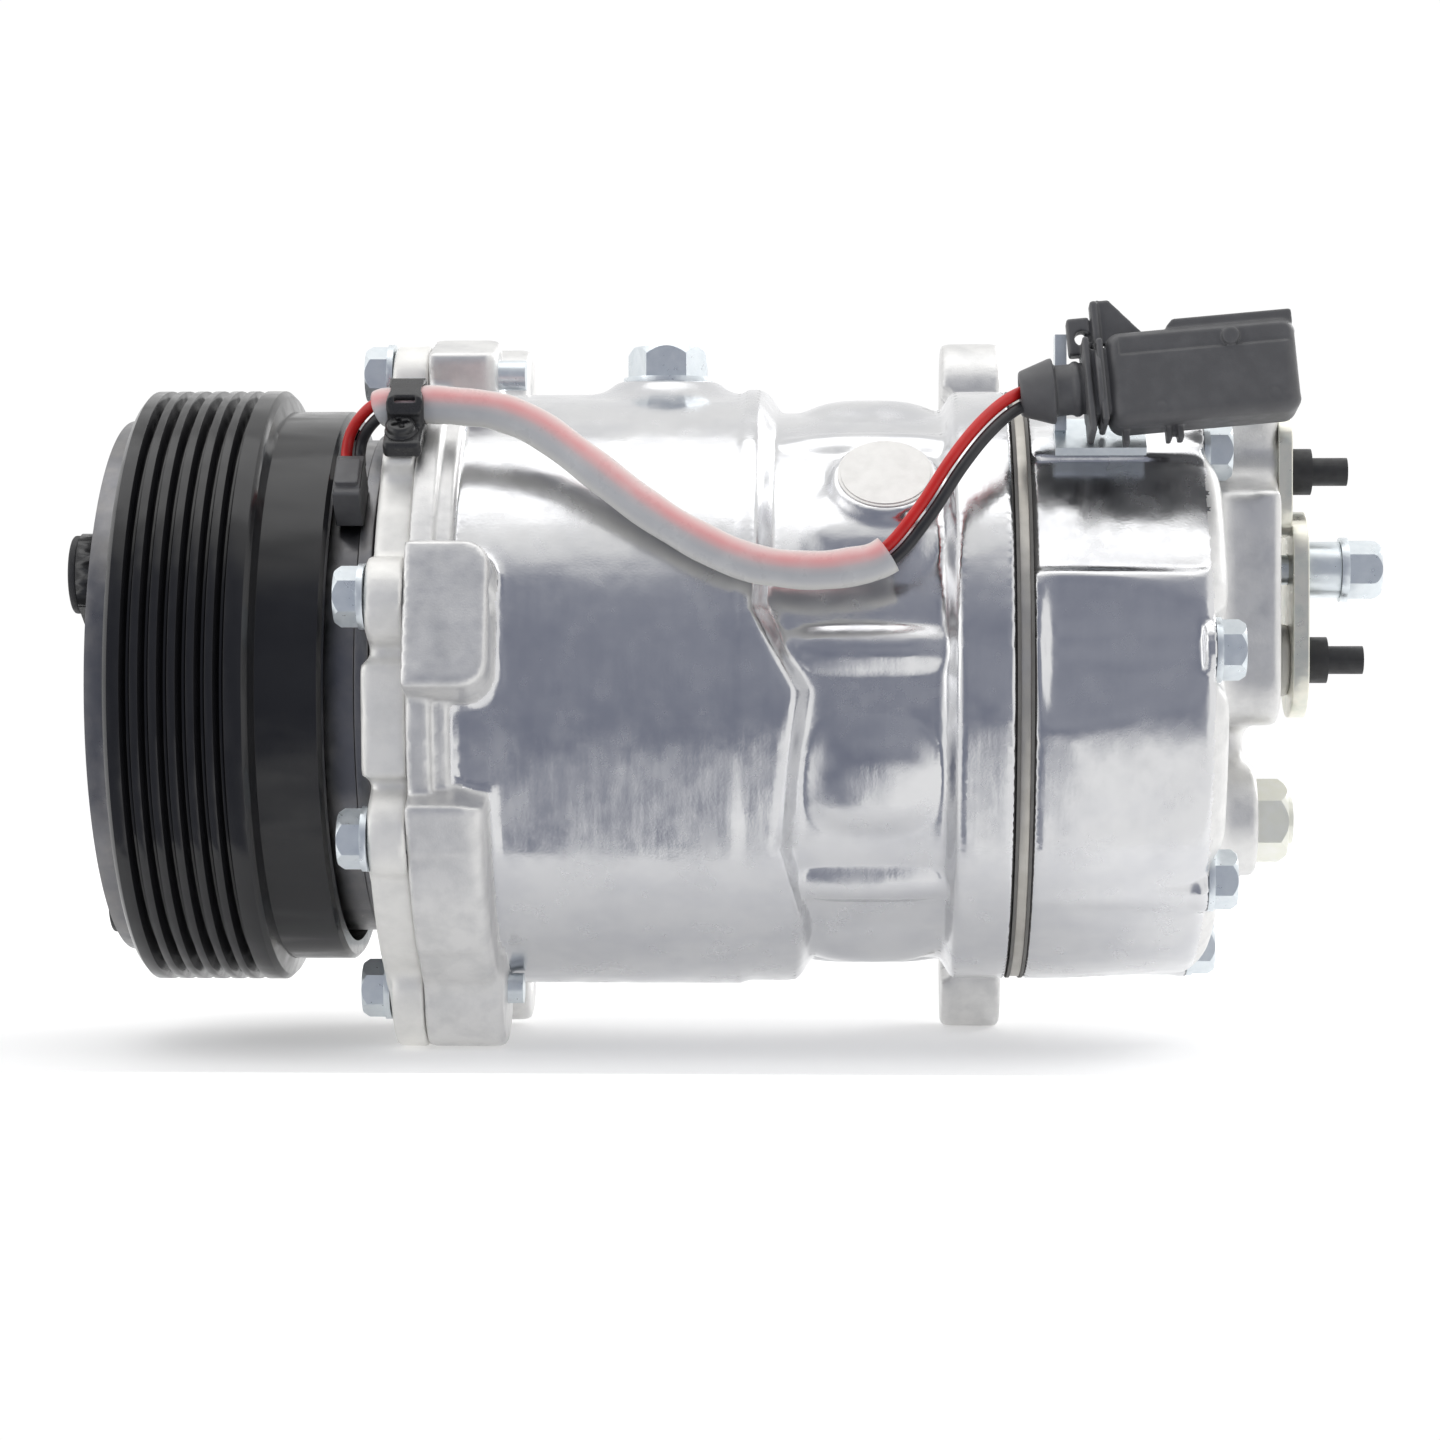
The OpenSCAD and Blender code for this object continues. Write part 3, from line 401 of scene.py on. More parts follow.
class Field:
    """Signed distances on a grid, in millimetres: negative inside."""

    BAND = 10
    DECIMALS = 4

    def __init__(self, low, high, pitch):
        self.pitch = pitch
        self.low = np.array(low, float)
        count = np.ceil((np.array(high) - self.low) / pitch).astype(int) + 1
        self.shape = tuple(count)
        axes = [self.low[i] + pitch * np.arange(count[i]) for i in range(3)]
        self.x, self.y, self.z = np.ix_(*[a.astype(np.float32) for a in axes])

    def of_mesh(self, obj):
        """Distances to a CAD node's surface."""
        data = obj.data
        points = np.empty(len(data.vertices) * 3, np.float32)
        data.vertices.foreach_get("co", points)
        points = points.reshape(-1, 3) / MM - self.low.astype(np.float32)
        data.calc_loop_triangles()
        tris = np.empty(len(data.loop_triangles) * 3, np.int32)
        data.loop_triangles.foreach_get("vertices", tris)
        unique, back = np.unique(np.round(points, self.DECIMALS), axis=0, return_inverse=True)
        tris = back.reshape(-1)[tris].reshape(-1, 3)
        keep = (tris[:, 0] != tris[:, 1]) & (tris[:, 1] != tris[:, 2]) & (tris[:, 0] != tris[:, 2])
        grid = openvdb.FloatGrid.createLevelSetFromPolygons(
            np.ascontiguousarray(unique, np.float32), triangles=np.ascontiguousarray(tris[keep], np.uint32),
            transform=openvdb.createLinearTransform(self.pitch), halfWidth=float(self.BAND))
        out = np.full(self.shape, self.BAND * self.pitch, np.float32)
        grid.copyToArray(out)
        return out

    def blur(self, values, sigma_mm):
        """Gaussian blur, which rounds edges and corners."""
        sigma = sigma_mm / self.pitch
        reach = max(1, int(math.ceil(3 * sigma)))
        weights = np.exp(-0.5 * (np.arange(-reach, reach + 1) / sigma) ** 2)
        weights /= weights.sum()
        for axis in range(3):
            padded = np.pad(values, [(reach, reach) if i == axis else (0, 0) for i in range(3)], mode="edge")
            total = np.zeros_like(values)
            for i, w in enumerate(weights):
                part = [slice(None)] * 3
                part[axis] = slice(i, i + values.shape[axis])
                total += np.float32(w) * padded[tuple(part)]
            values = total
        return values

    def polygons(self, values):
        """Points in millimetres and quads of the surface where the distance is 0."""
        values = np.array(np.broadcast_to(values, self.shape), np.float32)
        edge = np.float32(self.pitch)
        for axis in range(3):
            for end in (0, -1):
                part = [slice(None)] * 3
                part[axis] = end
                values[tuple(part)] = np.maximum(values[tuple(part)], edge)
        grid = openvdb.FloatGrid(float(self.pitch * self.BAND))
        grid.copyFromArray(values)
        grid.transform = openvdb.createLinearTransform(self.pitch)
        points, tris, quads = grid.convertToPolygons(isovalue=0.0, adaptivity=0.0)
        points = points + self.low
        faces = [tuple(q) for q in quads.tolist()] + [tuple(t) for t in tris.tolist()]
        a, b, c = (points[quads[:, i]] for i in range(3))
        d = points[quads[:, 3]]
        volume = np.einsum("ij,ij->", a, np.cross(b, c)) + np.einsum("ij,ij->", a, np.cross(c, d))
        if volume < 0:
            faces = [f[::-1] for f in faces]
        return points, faces


def step01(t):
    t = np.clip(t, 0, 1)
    return t * t * (3 - 2 * t)


def radius(a, b):
    return np.sqrt(a * a + b * b)


def corner(q0, q1, r):
    """Distance to an outline from the distances to its two sides, with corners of radius r."""
    return np.sqrt(np.maximum(q0, 0) ** 2 + np.maximum(q1, 0) ** 2) + np.minimum(np.maximum(q0, q1), 0) - r


def sd_box(x, y, z, half, r=0.0):
    q = [np.abs(v) - (h - r) for v, h in zip((x, y, z), half)]
    outside = np.sqrt(sum(np.maximum(v, 0) ** 2 for v in q))
    return outside + np.minimum(np.maximum(np.maximum(q[0], q[1]), q[2]), 0) - r


def sd_rod(u, v, along, rod_r, half, r=0.0):
    """A round rod: u and v across, along its axis."""
    return corner(radius(u, v) - (rod_r - r), np.abs(along) - (half - r), r)


def join(a, b, k):
    """Union, with a fillet of about k."""
    h = np.maximum(k - np.abs(a - b), 0) / k
    return np.minimum(a, b) - h * h * k * 0.25


def cut(a, b, k):
    """What is left of a without b."""
    return -join(-a, b, k)


def top_of(a, b, k):
    """The larger of two values, with a round transition."""
    return -join(-a, -b, k)


# how strongly the thinning keeps to the inner walls
INNER_WEIGHT = 10


def thin(obj, inner_points, ratio):
    """Fewer faces on the hidden inner walls, and the rest left as it is."""
    group = obj.vertex_groups.new(name="inner")
    group.add(inner_points, 1.0, "REPLACE")
    mod = obj.modifiers.new("thin", "DECIMATE")
    mod.ratio = ratio
    mod.vertex_group = "inner"
    mod.vertex_group_factor = INNER_WEIGHT
    bpy.context.view_layer.update()
    graph = bpy.context.evaluated_depsgraph_get()
    mesh = bpy.data.meshes.new_from_object(obj.evaluated_get(graph))
    obj.modifiers.clear()
    obj.data = mesh
    mesh.shade_smooth()
    obj.vertex_groups.clear()


def box_mm(node, margin):
    low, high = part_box(node)
    return [v / MM - margin for v in low], [v / MM + margin for v in high]


# grid step of the castings, and the room left round them
PITCH, MARGIN = 0.8, 3
# how deep behind a joint face the shape is taken as going on, and the rounding of that face's edge
JOINT_DEPTH, JOINT_EDGE = 1.2, 0.8
# points this close to the core are its walls
NEAR_CORE = 0.5


def casting(nodes, soft, core, ends, features, plug=None, rough=None, wide=None, thinned=None):
    """The CAD casting with its edges and corners rounded as a die leaves them.

    soft is the blur in millimetres; core is the space whose walls stay as they are, and plug a hidden hole
    that is closed; ends are the flat joint faces (x, direction) that keep their sharp edges; features adds
    to the shape; rough says which faces are left as cast; wide is a larger blur and where it holds; thinned
    is the share of faces that is kept where the walls of the core are made coarser."""
    node = nodes[0]
    boxes = [box_mm(n, MARGIN) for n in nodes]
    field = Field(np.min([b[0] for b in boxes], axis=0), np.max([b[1] for b in boxes], axis=0), PITCH)
    x, y, z = field.x, field.y, field.z
    sharp = field.of_mesh(NODES[node])
    for other in nodes[1:]:
        sharp = np.minimum(sharp, field.of_mesh(NODES[other]))
    inside = core(x, y, z)
    filled = np.minimum(sharp, inside)
    if plug:
        filled = np.minimum(filled, plug(x, y, z))
    for at, direction in ends:
        i = int(round((at - direction * JOINT_DEPTH - field.low[0]) / PITCH))
        if direction < 0:
            filled[:i] = filled[i]
        else:
            filled[i + 1:] = filled[i]
    shape = field.blur(filled, soft)
    if wide:
        mask = wide[1](x, y, z)
        shape = shape * (1 - mask) + field.blur(filled, wide[0]) * mask
    shape = features(shape, x, y, z)
    for at, direction in ends:
        shape = cut(shape, -direction * (x - at), JOINT_EDGE)
    shape = np.where(inside < 0, np.maximum(shape, sharp), shape)
    points, faces = field.polygons(shape)
    obj = add_mesh(node + "_casting", points, faces, SLOT_MATERIAL[node], nodes)
    if thinned:
        thin(obj, np.nonzero(core(*points.T) < NEAR_CORE)[0].tolist(), thinned)
    if rough:
        mesh = obj.data
        mesh.materials.append(MATERIALS["rough_casting"])
        centres = np.empty(len(mesh.polygons) * 3, np.float32)
        mesh.polygons.foreach_get("center", centres)
        at = centres.reshape(-1, 3).T / MM
        mesh.polygons.foreach_set("material_index", rough(*at).astype(np.int32))


# ------------------------------------------------------------ crankcase, in millimetres

CASE_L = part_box("crankcase")[1].x / MM
FILLER_X = (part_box("filler_plug")[0].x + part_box("filler_plug")[1].x) / 2 / MM
CYLINDERS = 7
# degrees from the near side upwards
BULGE_FIRST, BOLT_FIRST, PAD_ANGLE = 32.8, 7.086, 43.7
CHAMBER_R, CHAMBER_END, BLOCK_R = 56.3, 61.4, 54.4
CASE_SOFT, CASE_THINNED = 0.75, 0.62

# waist: circle and radius of the cylinder bulges and of the bolt ridges
BULGE, RIDGE = (38.4, 19.4), (51.2, 6.0)
WAIST_R, WAIST_END, WAIST_FADE = 54.7, 106, 4
WAIST_MID, WAIST_HALF, BARREL_DROP = 87.2, 14.5, 3.2
# the slanting end of the drum on the near side: x at each z
DRUM_EDGE_Z = [-62, -45, -31, -12, -1, 8, 15, 26, 62]
DRUM_EDGE_X = [72, 72, 68.5, 70.5, 72, 67, 63.5, 64.5, 64.5]
DRUM_EDGE_FAR, DRUM_R, DRUM_STEP = 66, 60, 5.6
REAR_FLANGE_X, REAR_FLANGE_R, REAR_FLANGE_STEP, SLOPE_L = 99.5, 54, 5.9, 5.5
PAD_X, PAD_OUT, PAD_R, PAD_HALF, PAD_EDGE = 90, 53, 10.2, 5.2, 0.6
# where the waist stands in for the blurred CAD
BLEND_FROM, BLEND_TO, BLEND_R = 61, 105, 64

# front flange: end, radius and rounding of its two steps, and the lobe between the lower lugs
FLANGE_STEPS = [(8.0, 62.0, 1.2), (4.6, 63.9, 0.7)]
FLANGE_START = -4
LOBE_ANGLES, LOBE_END, LOBE_R, LOBE_EDGE = (-72, -20), 14.6, 68.2, 1.8
LOBE_FLAT_ANGLES, LOBE_FLAT_END = (-57, -28), 17
ARC_R = 64

# filler boss: its round top, its cone and the seat of the plug
BOSS_TOP, BOSS_TOP_R, BOSS_ROOT, BOSS_SLOPE, BOSS_LEAN = 61.2, 10.4, 45, 1.25, 0.62
PLUG_SEAT_Z, PLUG_SEAT_R, PLUG_SEAT_HALF = 65.5, 7.35, 5


def case_core(x, y, z):
    r = radius(y, z)
    chamber = np.maximum(r - CHAMBER_R, x - CHAMBER_END)
    block = np.maximum(r - BLOCK_R, x - CASE_L - 2)
    return np.minimum(chamber, block)


def spread(angle, first):
    """Angle from the nearest of the seven places, in radians."""
    step = 360 / CYLINDERS
    away = (np.degrees(angle) - first + step / 2) % step - step / 2
    return np.radians(away)


def round_rise(off, centre_r, r):
    """How far out a round bar along the shaft stands, seen along the radius."""
    side = centre_r * np.sin(off)
    return np.where(np.abs(side) < r, centre_r * np.cos(off) + np.sqrt(np.maximum(r * r - side * side, 0)), 0)


def case_neck(shape, x, y, z):
    """The waist between drum and rear flange: seven cylinder bulges with a bolt ridge between each two."""
    r = radius(y, z)
    angle = np.arctan2(z, -y)
    near = step01((10 - y) / 20)
    drum_end = np.interp(z, DRUM_EDGE_Z, DRUM_EDGE_X) * near + DRUM_EDGE_FAR * (1 - near)
    full = step01((x - drum_end - 0.5) / WAIST_FADE) * step01((WAIST_END - x) / WAIST_FADE)
    ends = BARREL_DROP * np.abs((x - WAIST_MID) / WAIST_HALF) ** 3
    bulge = np.maximum(round_rise(spread(angle, BULGE_FIRST), *BULGE) - ends, WAIST_R)
    ridge = np.maximum(round_rise(spread(angle, BOLT_FIRST), *RIDGE) - ends / 3, WAIST_R)
    wall = top_of(bulge, WAIST_R + (ridge - WAIST_R) * full, 1.6)
    drum = DRUM_R - DRUM_STEP * step01((x - drum_end) / SLOPE_L)
    flange = REAR_FLANGE_R + REAR_FLANGE_STEP * step01((x - REAR_FLANGE_X) / SLOPE_L)
    neck = (r - top_of(top_of(wall, drum, 1.5), flange, 1.5)) * 0.9
    turn = math.radians(PAD_ANGLE)
    out, up = -y * math.cos(turn) + z * math.sin(turn), y * math.sin(turn) + z * math.cos(turn)
    neck = join(neck, sd_rod(x - PAD_X, up, out - PAD_OUT, PAD_R, PAD_HALF, PAD_EDGE), 3)
    mask = step01((x - BLEND_FROM) / 2) * step01((BLEND_TO - x) / 3) * step01((BLEND_R - r) / 1.5)
    return shape * (1 - mask) + neck * mask


def band(x, r, start, end, band_r, round_off):
    """A ring of the casting between two places along the shaft."""
    across = np.abs(x - (start + end) / 2) - ((end - start) / 2 - round_off)
    return corner(r - (band_r - round_off), across, round_off)


def between(y, z, first, last):
    """Negative between two angles, in degrees from the near side upwards."""
    away = (np.degrees(np.arctan2(z, -y)) - (first + last) / 2 + 180) % 360 - 180
    return (np.abs(away) - (last - first) / 2) * math.pi / 180 * ARC_R


def sector(x, y, z, angles, *ring):
    """A band that runs only between two angles."""
    return np.maximum(band(x, radius(y, z), *ring), between(y, z, *angles))


def case_flange(shape, x, y, z):
    """Steps of the front flange, and the wide lobe that joins its two lower lugs."""
    r = radius(y, z)
    for step in FLANGE_STEPS:
        shape = join(shape, band(x, r, FLANGE_START, *step), 1.0)
    over_lobe = np.maximum(LOBE_R - r, np.maximum(between(y, z, *LOBE_FLAT_ANGLES), x - LOBE_FLAT_END))
    shape = cut(shape, over_lobe, 1.5)
    return join(shape, sector(x, y, z, LOBE_ANGLES, FLANGE_START, LOBE_END, LOBE_R, LOBE_EDGE), 2.5)


def filler_boss(shape, x, y, z):
    side = (radius(x - FILLER_X, y) - BOSS_TOP_R - (BOSS_TOP - z) * BOSS_SLOPE) * BOSS_LEAN
    cone = np.maximum(np.maximum(side, z - BOSS_TOP), BOSS_ROOT - z)
    seat = sd_rod(x - FILLER_X, y, z - PLUG_SEAT_Z, PLUG_SEAT_R, PLUG_SEAT_HALF)
    return cut(join(shape, cone, 2.0), seat, 0.2)


def case_features(shape, x, y, z):
    for add in (case_neck, case_flange, filler_boss):
        shape = add(shape, x, y, z)
    return shape


def as_cast(x, y, z):
    """The lugs, the ears and the rims, which no tool has touched."""
    r = radius(y, z + 0.8)
    return ((x < 17.5) & (r > 60.5)) | ((x > 99) & (r > 61.2))


casting(["crankcase", "mount_ears"], CASE_SOFT, case_core, [(0, -1), (CASE_L, 1)], case_features,
        rough=as_cast, thinned=CASE_THINNED)

# ------------------------------------------------------------ rear head, in millimetres

HEAD_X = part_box("rear_head")[0].x / MM
HEAD_SOFT, BEHIND_SOFT, HEAD_THINNED = 0.9, 1.8, 0.7
HEAD_CORE_R, HEAD_CORE_END = 49.0, 143.5
BOLT_CIRCLE_R, BOLT_HOLE_R, BOLT_HOLE_END = 53.5, 4.0, 151
BOLT_SEAT, BOLT_SEAT_R, BOLT_SEAT_HALF = HEAD_X + 34, 6.4, 1.2
# the ports: z and radius, at one y
PORT_Y, PORTS, PORT_START = -12, [(42.5, 8.2), (5, 7.2)], 146
PORT_BLOCK_X = 151.5
# the recess above the flat: how it leans, and its middle, half sizes, corners and depth
PANEL_ANGLE, PANEL_AT, PANEL_HALF, PANEL_CORNER, PANEL_OUT = 36, (128, 32.6), (24.6, 10.4), 5, 56.3
PANEL_NEAR_Y = -20


def head_core(x, y, z):
    return np.maximum(radius(y, z) - HEAD_CORE_R, np.maximum(x - HEAD_CORE_END, HEAD_X - 3 - x))


def bolt_distance(y, z):
    """Millimetres to the axis of the nearest head bolt."""
    r = radius(y, z)
    off = spread(np.arctan2(z, -y), BOLT_FIRST)
    return radius(r * np.cos(off) - BOLT_CIRCLE_R, r * np.sin(off))


def head_holes(x, y, z):
    """The bolt holes and ports, which the bolts, plugs and cover plates close."""
    bolts = np.maximum(bolt_distance(y, z) - BOLT_HOLE_R, x - BOLT_HOLE_END)
    high, low = (radius(y - PORT_Y, z - at) - r for at, r in PORTS)
    return np.minimum(bolts, np.maximum(np.minimum(high, low), PORT_START - x))


def head_features(shape, x, y, z):
    """A shallow recess with round corners on the near side, above the flat, and the seats of the bolts."""
    turn = math.radians(PANEL_ANGLE)
    out = -y * math.cos(turn) + z * math.sin(turn)
    sides = [np.abs(v - at) - (half - PANEL_CORNER) for v, at, half in zip((x, z), PANEL_AT, PANEL_HALF)]
    outline = corner(*sides, PANEL_CORNER)
    recess = np.maximum(np.maximum(outline, PANEL_OUT - out), y - PANEL_NEAR_Y)
    shape = cut(shape, recess, 2.2)
    seats = np.maximum(bolt_distance(y, z) - BOLT_SEAT_R,
                       np.abs(x - BOLT_SEAT + BOLT_SEAT_HALF) - BOLT_SEAT_HALF)
    return join(shape, seats, 0.6)


def port_block(x, y, z):
    return x > PORT_BLOCK_X


def behind_head(x, y, z):
    """The port block and the bosses on the rear, whose corners are rounder, but for the port face."""
    return step01((x - 150) / 4) * step01((164 - x) / 3) * np.ones_like(y * z)


casting(["rear_head"], HEAD_SOFT, head_core, [(HEAD_X, -1)], head_features, plug=head_holes,
        rough=port_block, wide=(BEHIND_SOFT, behind_head), thinned=HEAD_THINNED)

# ------------------------------------------------------------ front housing, in millimetres

NOSE_SOFT, NOSE_CORE_R, NOSE_CORE_END = 0.7, 34, 5
RIM_ANGLES, RIM = (-66, -24), (-7.8, 4, 65.6, 0.9)


def nose_core(x, y, z):
    return np.maximum(radius(y, z) - NOSE_CORE_R, x - NOSE_CORE_END)


def front_flange(shape, x, y, z):
    """The rim between the two lower lugs."""
    return join(shape, sector(x, y, z, RIM_ANGLES, *RIM), 1.5)


casting(["front_housing"], NOSE_SOFT, nose_core, [(0, 1)], front_flange)

# ------------------------------------------------------------ wires and sleeve

# The wires' route as in the CAD source, in millimetres
WIRE_ROUTE = [
    (-13, -38.2, 42.5), (-13.2, -37.2, 45.2), (-12.4, -38, 48.4), (-10.2, -40.4, 51.2), (-7.2, -42.6, 53.2),
    (-3, -43.2, 53.9), (2, -43.2, 54), (9, -43.6, 53.5), (16, -44.4, 52.4), (24, -46.6, 48.9),
    (34, -51, 41.6), (44, -55, 33.9), (54, -58.2, 27.6), (64, -60.2, 23.1), (74, -60.9, 21.5),
    (83, -60.8, 22), (90.3, -60.5, 24.4), (97, -59.4, 32.2), (103, -56.5, 41.4), (108.3, -52.5, 48.2),
    (113.5, -48.2, 53), (118.5, -45.2, 55.4), (124, -45, 56.3)]
SLEEVE_FIRST, SLEEVE_LAST = 4, 16
WIRE_R, WIRE_APART = 1.12, 1.3
SLEEVE_OUTER, SLEEVE_INNER = 3.7, 3.2
ROUTE_STEPS, WIRE_SIDES, SLEEVE_SIDES = 8, 20, 40
# height and waves of the sleeve's slight unevenness
SWELLS, SWELL_MEAN = [(0.06, 0.8, 0), (0.05, 0.37, 1)], -0.05
# the sleeve's colour from the red wire's side (-1) to the black wire's side (1)
SLEEVE_TINTS = [
    (-1.0, (0.9, 0.82, 0.79)), (-0.8, (0.9, 0.6, 0.58)), (-0.5, (0.9, 0.41, 0.41)),
    (-0.2, (0.84, 0.51, 0.51)), (0.02, (0.64, 0.58, 0.59)), (0.3, (0.57, 0.58, 0.6)),
    (0.65, (0.64, 0.645, 0.66)), (0.88, (0.82, 0.81, 0.78)), (1.0, (0.87, 0.86, 0.81))]


def spline(first, last):
    """Catmull-Rom points from one place of the route to another."""
    p = np.array(WIRE_ROUTE, float)
    out = []
    for i in range(first, last):
        a, b, c, d = p[max(i - 1, 0)], p[i], p[i + 1], p[min(i + 2, len(p) - 1)]
        for t in np.arange(ROUTE_STEPS) / ROUTE_STEPS:
            out.append(0.5 * (2 * b + (c - a) * t + (2 * a - 5 * b + 4 * c - d) * t ** 2
                              + (3 * b - a - 3 * c + d) * t ** 3))
    out.append(p[last])
    return np.array(out)


def unit(v):
    return v / np.linalg.norm(v, axis=-1, keepdims=True)


def across(path):
    """Sideways (down the object's near side) and outward directions at each point of a path."""
    heading = unit(np.gradient(path, axis=0))
    side = unit(np.cross(heading, (0, -1, 0)))
    return side, np.cross(side, heading)


def tube(path, side, out, radii, sides, closed_ends=True):
    """Rings of points round a path and the faces between them."""
    turn = 2 * np.pi * np.arange(sides) / sides
    radii = np.broadcast_to(radii, len(path))
    rings = (path[:, None] + radii[:, None, None] * (np.cos(turn)[None, :, None] * side[:, None]
                                                     + np.sin(turn)[None, :, None] * out[:, None]))
    faces = []
    for i in range(len(path) - 1):
        for j in range(sides):
            k = (j + 1) % sides
            faces.append((i * sides + j, i * sides + k, (i + 1) * sides + k, (i + 1) * sides + j))
    if closed_ends:
        faces.append(tuple(range(sides))[::-1])
        faces.append(tuple((len(path) - 1) * sides + j for j in range(sides)))
    return rings.reshape(-1, 3), faces


def make_wires():
    path = spline(0, len(WIRE_ROUTE) - 1)
    side, out = across(path)
    for name, way in (("red_wire", -1), ("black_wire", 1)):
        points, faces = tube(path + way * WIRE_APART * side, side, out, WIRE_R, WIRE_SIDES)
        add_mesh(name, points, faces, name, ["coil_wires"])


def make_sleeve():
    path = spline(SLEEVE_FIRST, SLEEVE_LAST)
    side, out = across(path)
    sides = SLEEVE_SIDES
    swell = sum(height * np.sin(np.arange(len(path)) * wave + at) for height, wave, at in SWELLS)
    outer, faces = tube(path, side, out, SLEEVE_OUTER + swell + SWELL_MEAN, sides, False)
    inner, inner_faces = tube(path, side, out, SLEEVE_INNER, sides, False)
    count = len(outer)
    faces += [tuple(count + v for v in f)[::-1] for f in inner_faces]
    for ring in (0, len(path) - 1):
        for j in range(sides):
            a, b = ring * sides + j, ring * sides + (j + 1) % sides
            rim = (a, b, count + b, count + a)
            faces.append(rim[::-1] if ring == 0 else rim)
    obj = add_mesh("milky_wire_sleeve", np.concatenate([outer, inner]), faces, "sleeve",
                   ["wire_sleeve"])
    where = np.cos(2 * np.pi * np.arange(sides) / sides)
    stops, tints = zip(*SLEEVE_TINTS)
    ring = np.stack([np.interp(where, stops, [t[i] for t in tints]) for i in range(3)] + [np.ones(sides)], -1)
    layer = obj.data.color_attributes.new("tint", "FLOAT_COLOR", "POINT")
    layer.data.foreach_set("color", np.tile(ring, (len(path) * 2, 1)).astype(np.float32).ravel())


make_wires()
make_sleeve()

# ------------------------------------------------------------ clip, in its own x, outward and upward mm

CLIP_ANGLE = math.radians(50)
CLIP_LOW, CLIP_HIGH, CLIP_PITCH = (-9, 61, -14), (6, 76, 9), 0.25
CLIP_SLEEVE_AT, CLIP_INNER_R, CLIP_OUTER_R = (69.06, 1.55), 3.8, 5.1
TEETH_DEPTH, TEETH_APART, TEETH_FROM = 0.22, 1.7, 68
SCREW_X, SCREW_UP, SCREW_HEAD, SCREW_WASHER = -2.6, -5.2, (2.75, 1.25, 0.9), (3.2, 0.35, 0.2)
SCREW_TURN, SCREW_CROSS = math.radians(20), (1.7, 0.42, 1.1)


def clip_axes(points):
    """The clip's own axes to the CAD frame."""
    along, out, up = points.T
    y = -out * math.cos(CLIP_ANGLE) + up * math.sin(CLIP_ANGLE)
    z = out * math.sin(CLIP_ANGLE) + up * math.cos(CLIP_ANGLE)
    return np.stack([along, y, z], -1)


def make_clip():
    field = Field(CLIP_LOW, CLIP_HIGH, CLIP_PITCH)
    x, o, t = field.x, field.y, field.z
    # strap round the sleeve, ribbed on its outer side, with its foot and the lock's window
    sleeve = radius(o - CLIP_SLEEVE_AT[0], t - CLIP_SLEEVE_AT[1])
    strap = sd_box(x + 1.9, o - 68.6, t - 1.6, (3.6, 4.6, 5.1), 1.3)
    teeth = TEETH_DEPTH * np.cos((t - o) * 2 * math.pi / TEETH_APART) * step01((o - TEETH_FROM) / 1.5)
    strap = np.maximum(strap, sleeve - CLIP_OUTER_R + teeth)
    foot = sd_box(x + 2.2, o - 66.2, t + 5.4, (3.7, 1.7, 4.3), 1.0)
    body = cut(join(strap, foot, 1.2), sleeve - CLIP_INNER_R, 0.2)
    body = cut(body, sd_box(x + 1.9, o - 72.6, t + 1.6, (2.0, 1.5, 0.5), 0.2), 0.3)
    points, faces = field.polygons(body)
    add_mesh("wire_clip_band", clip_axes(points), faces, "black_steel", ["wire_clip"])

    # screw with a washer and a cross recess
    u, v = x - SCREW_X, t - SCREW_UP
    head = join(sd_rod(u, v, o - 68.6, *SCREW_HEAD), sd_rod(u, v, o - 67.9, *SCREW_WASHER), 0.3)
    p = u * math.cos(SCREW_TURN) + v * math.sin(SCREW_TURN)
    q = -u * math.sin(SCREW_TURN) + v * math.cos(SCREW_TURN)
    for a, b in ((p, q), (q, p)):
        head = cut(head, sd_box(a, b, o - 70, SCREW_CROSS, 0.15), 0.2)
    points, faces = field.polygons(head)
    add_mesh("wire_clip_screw", clip_axes(points), faces, "black_steel", ["wire_clip"])


make_clip()

# ------------------------------------------------------------ connector and boot, in the connector's own axes

CONNECTOR_AT = Matrix.Translation((149, -45, 58.4)) @ Matrix.Rotation(math.radians(-5), 4, "Y") \
    @ Matrix.Rotation(math.radians(-8), 4, "X")
CONNECTOR_LOW, CONNECTOR_HIGH, CONNECTOR_PITCH = (-27, -10, -14), (21, 10, 20), 0.3
BOOT_LOW, BOOT_HIGH, BOOT_PITCH = (-35, -11, -11), (-16, 11, 11), 0.25
SHELL_HALF, SHELL_ROUND = (18, 7, 9), 2.8
UPPER_HALF_Y, UPPER_X, UPPER_Z = 6.55, -14.5, 4.6
GROOVE_HALF, RING_MARKS, RING_R, RING_HALF_WIDTH = (16.9, 0.55, 0.22), ((-7.6, -6.3), (13.9, -5.6)), 1.2, 0.16
# place along the shell and half length of each bottom tab
TABS = ((-14.3, 0.6), (-6.2, 0.5), (-4.0, 0.6))
# place, half sizes and drop of the two collars at the wire end
COLLARS = ((-18.1, 7.2, 8.0, 0), (-20.6, 6.6, 9.2, -0.6))
SOCKET_HALF, BLADES, BLADE_HALF = (9, 4.9, 6.9), (-2.6, 2.6), (6, 0.35, 1.1)
# boot: the ends of its cone, the cone's radius at one place and how it widens
BOOT_TIP_X, BOOT_END_X, BOOT_CONE_X, BOOT_CONE_R, BOOT_WIDENS = -33.6, -27.0, -33.5, 4.3, 0.34
# place, radius and half length of the boot's two collars
BOOT_COLLARS = ((-22.8, 5.3, 0.6), (-18.6, 8.3, 0.55))


def connector_axes(points):
    m = np.array(CONNECTOR_AT)
    return points @ m[:3, :3].T + m[:3, 3]


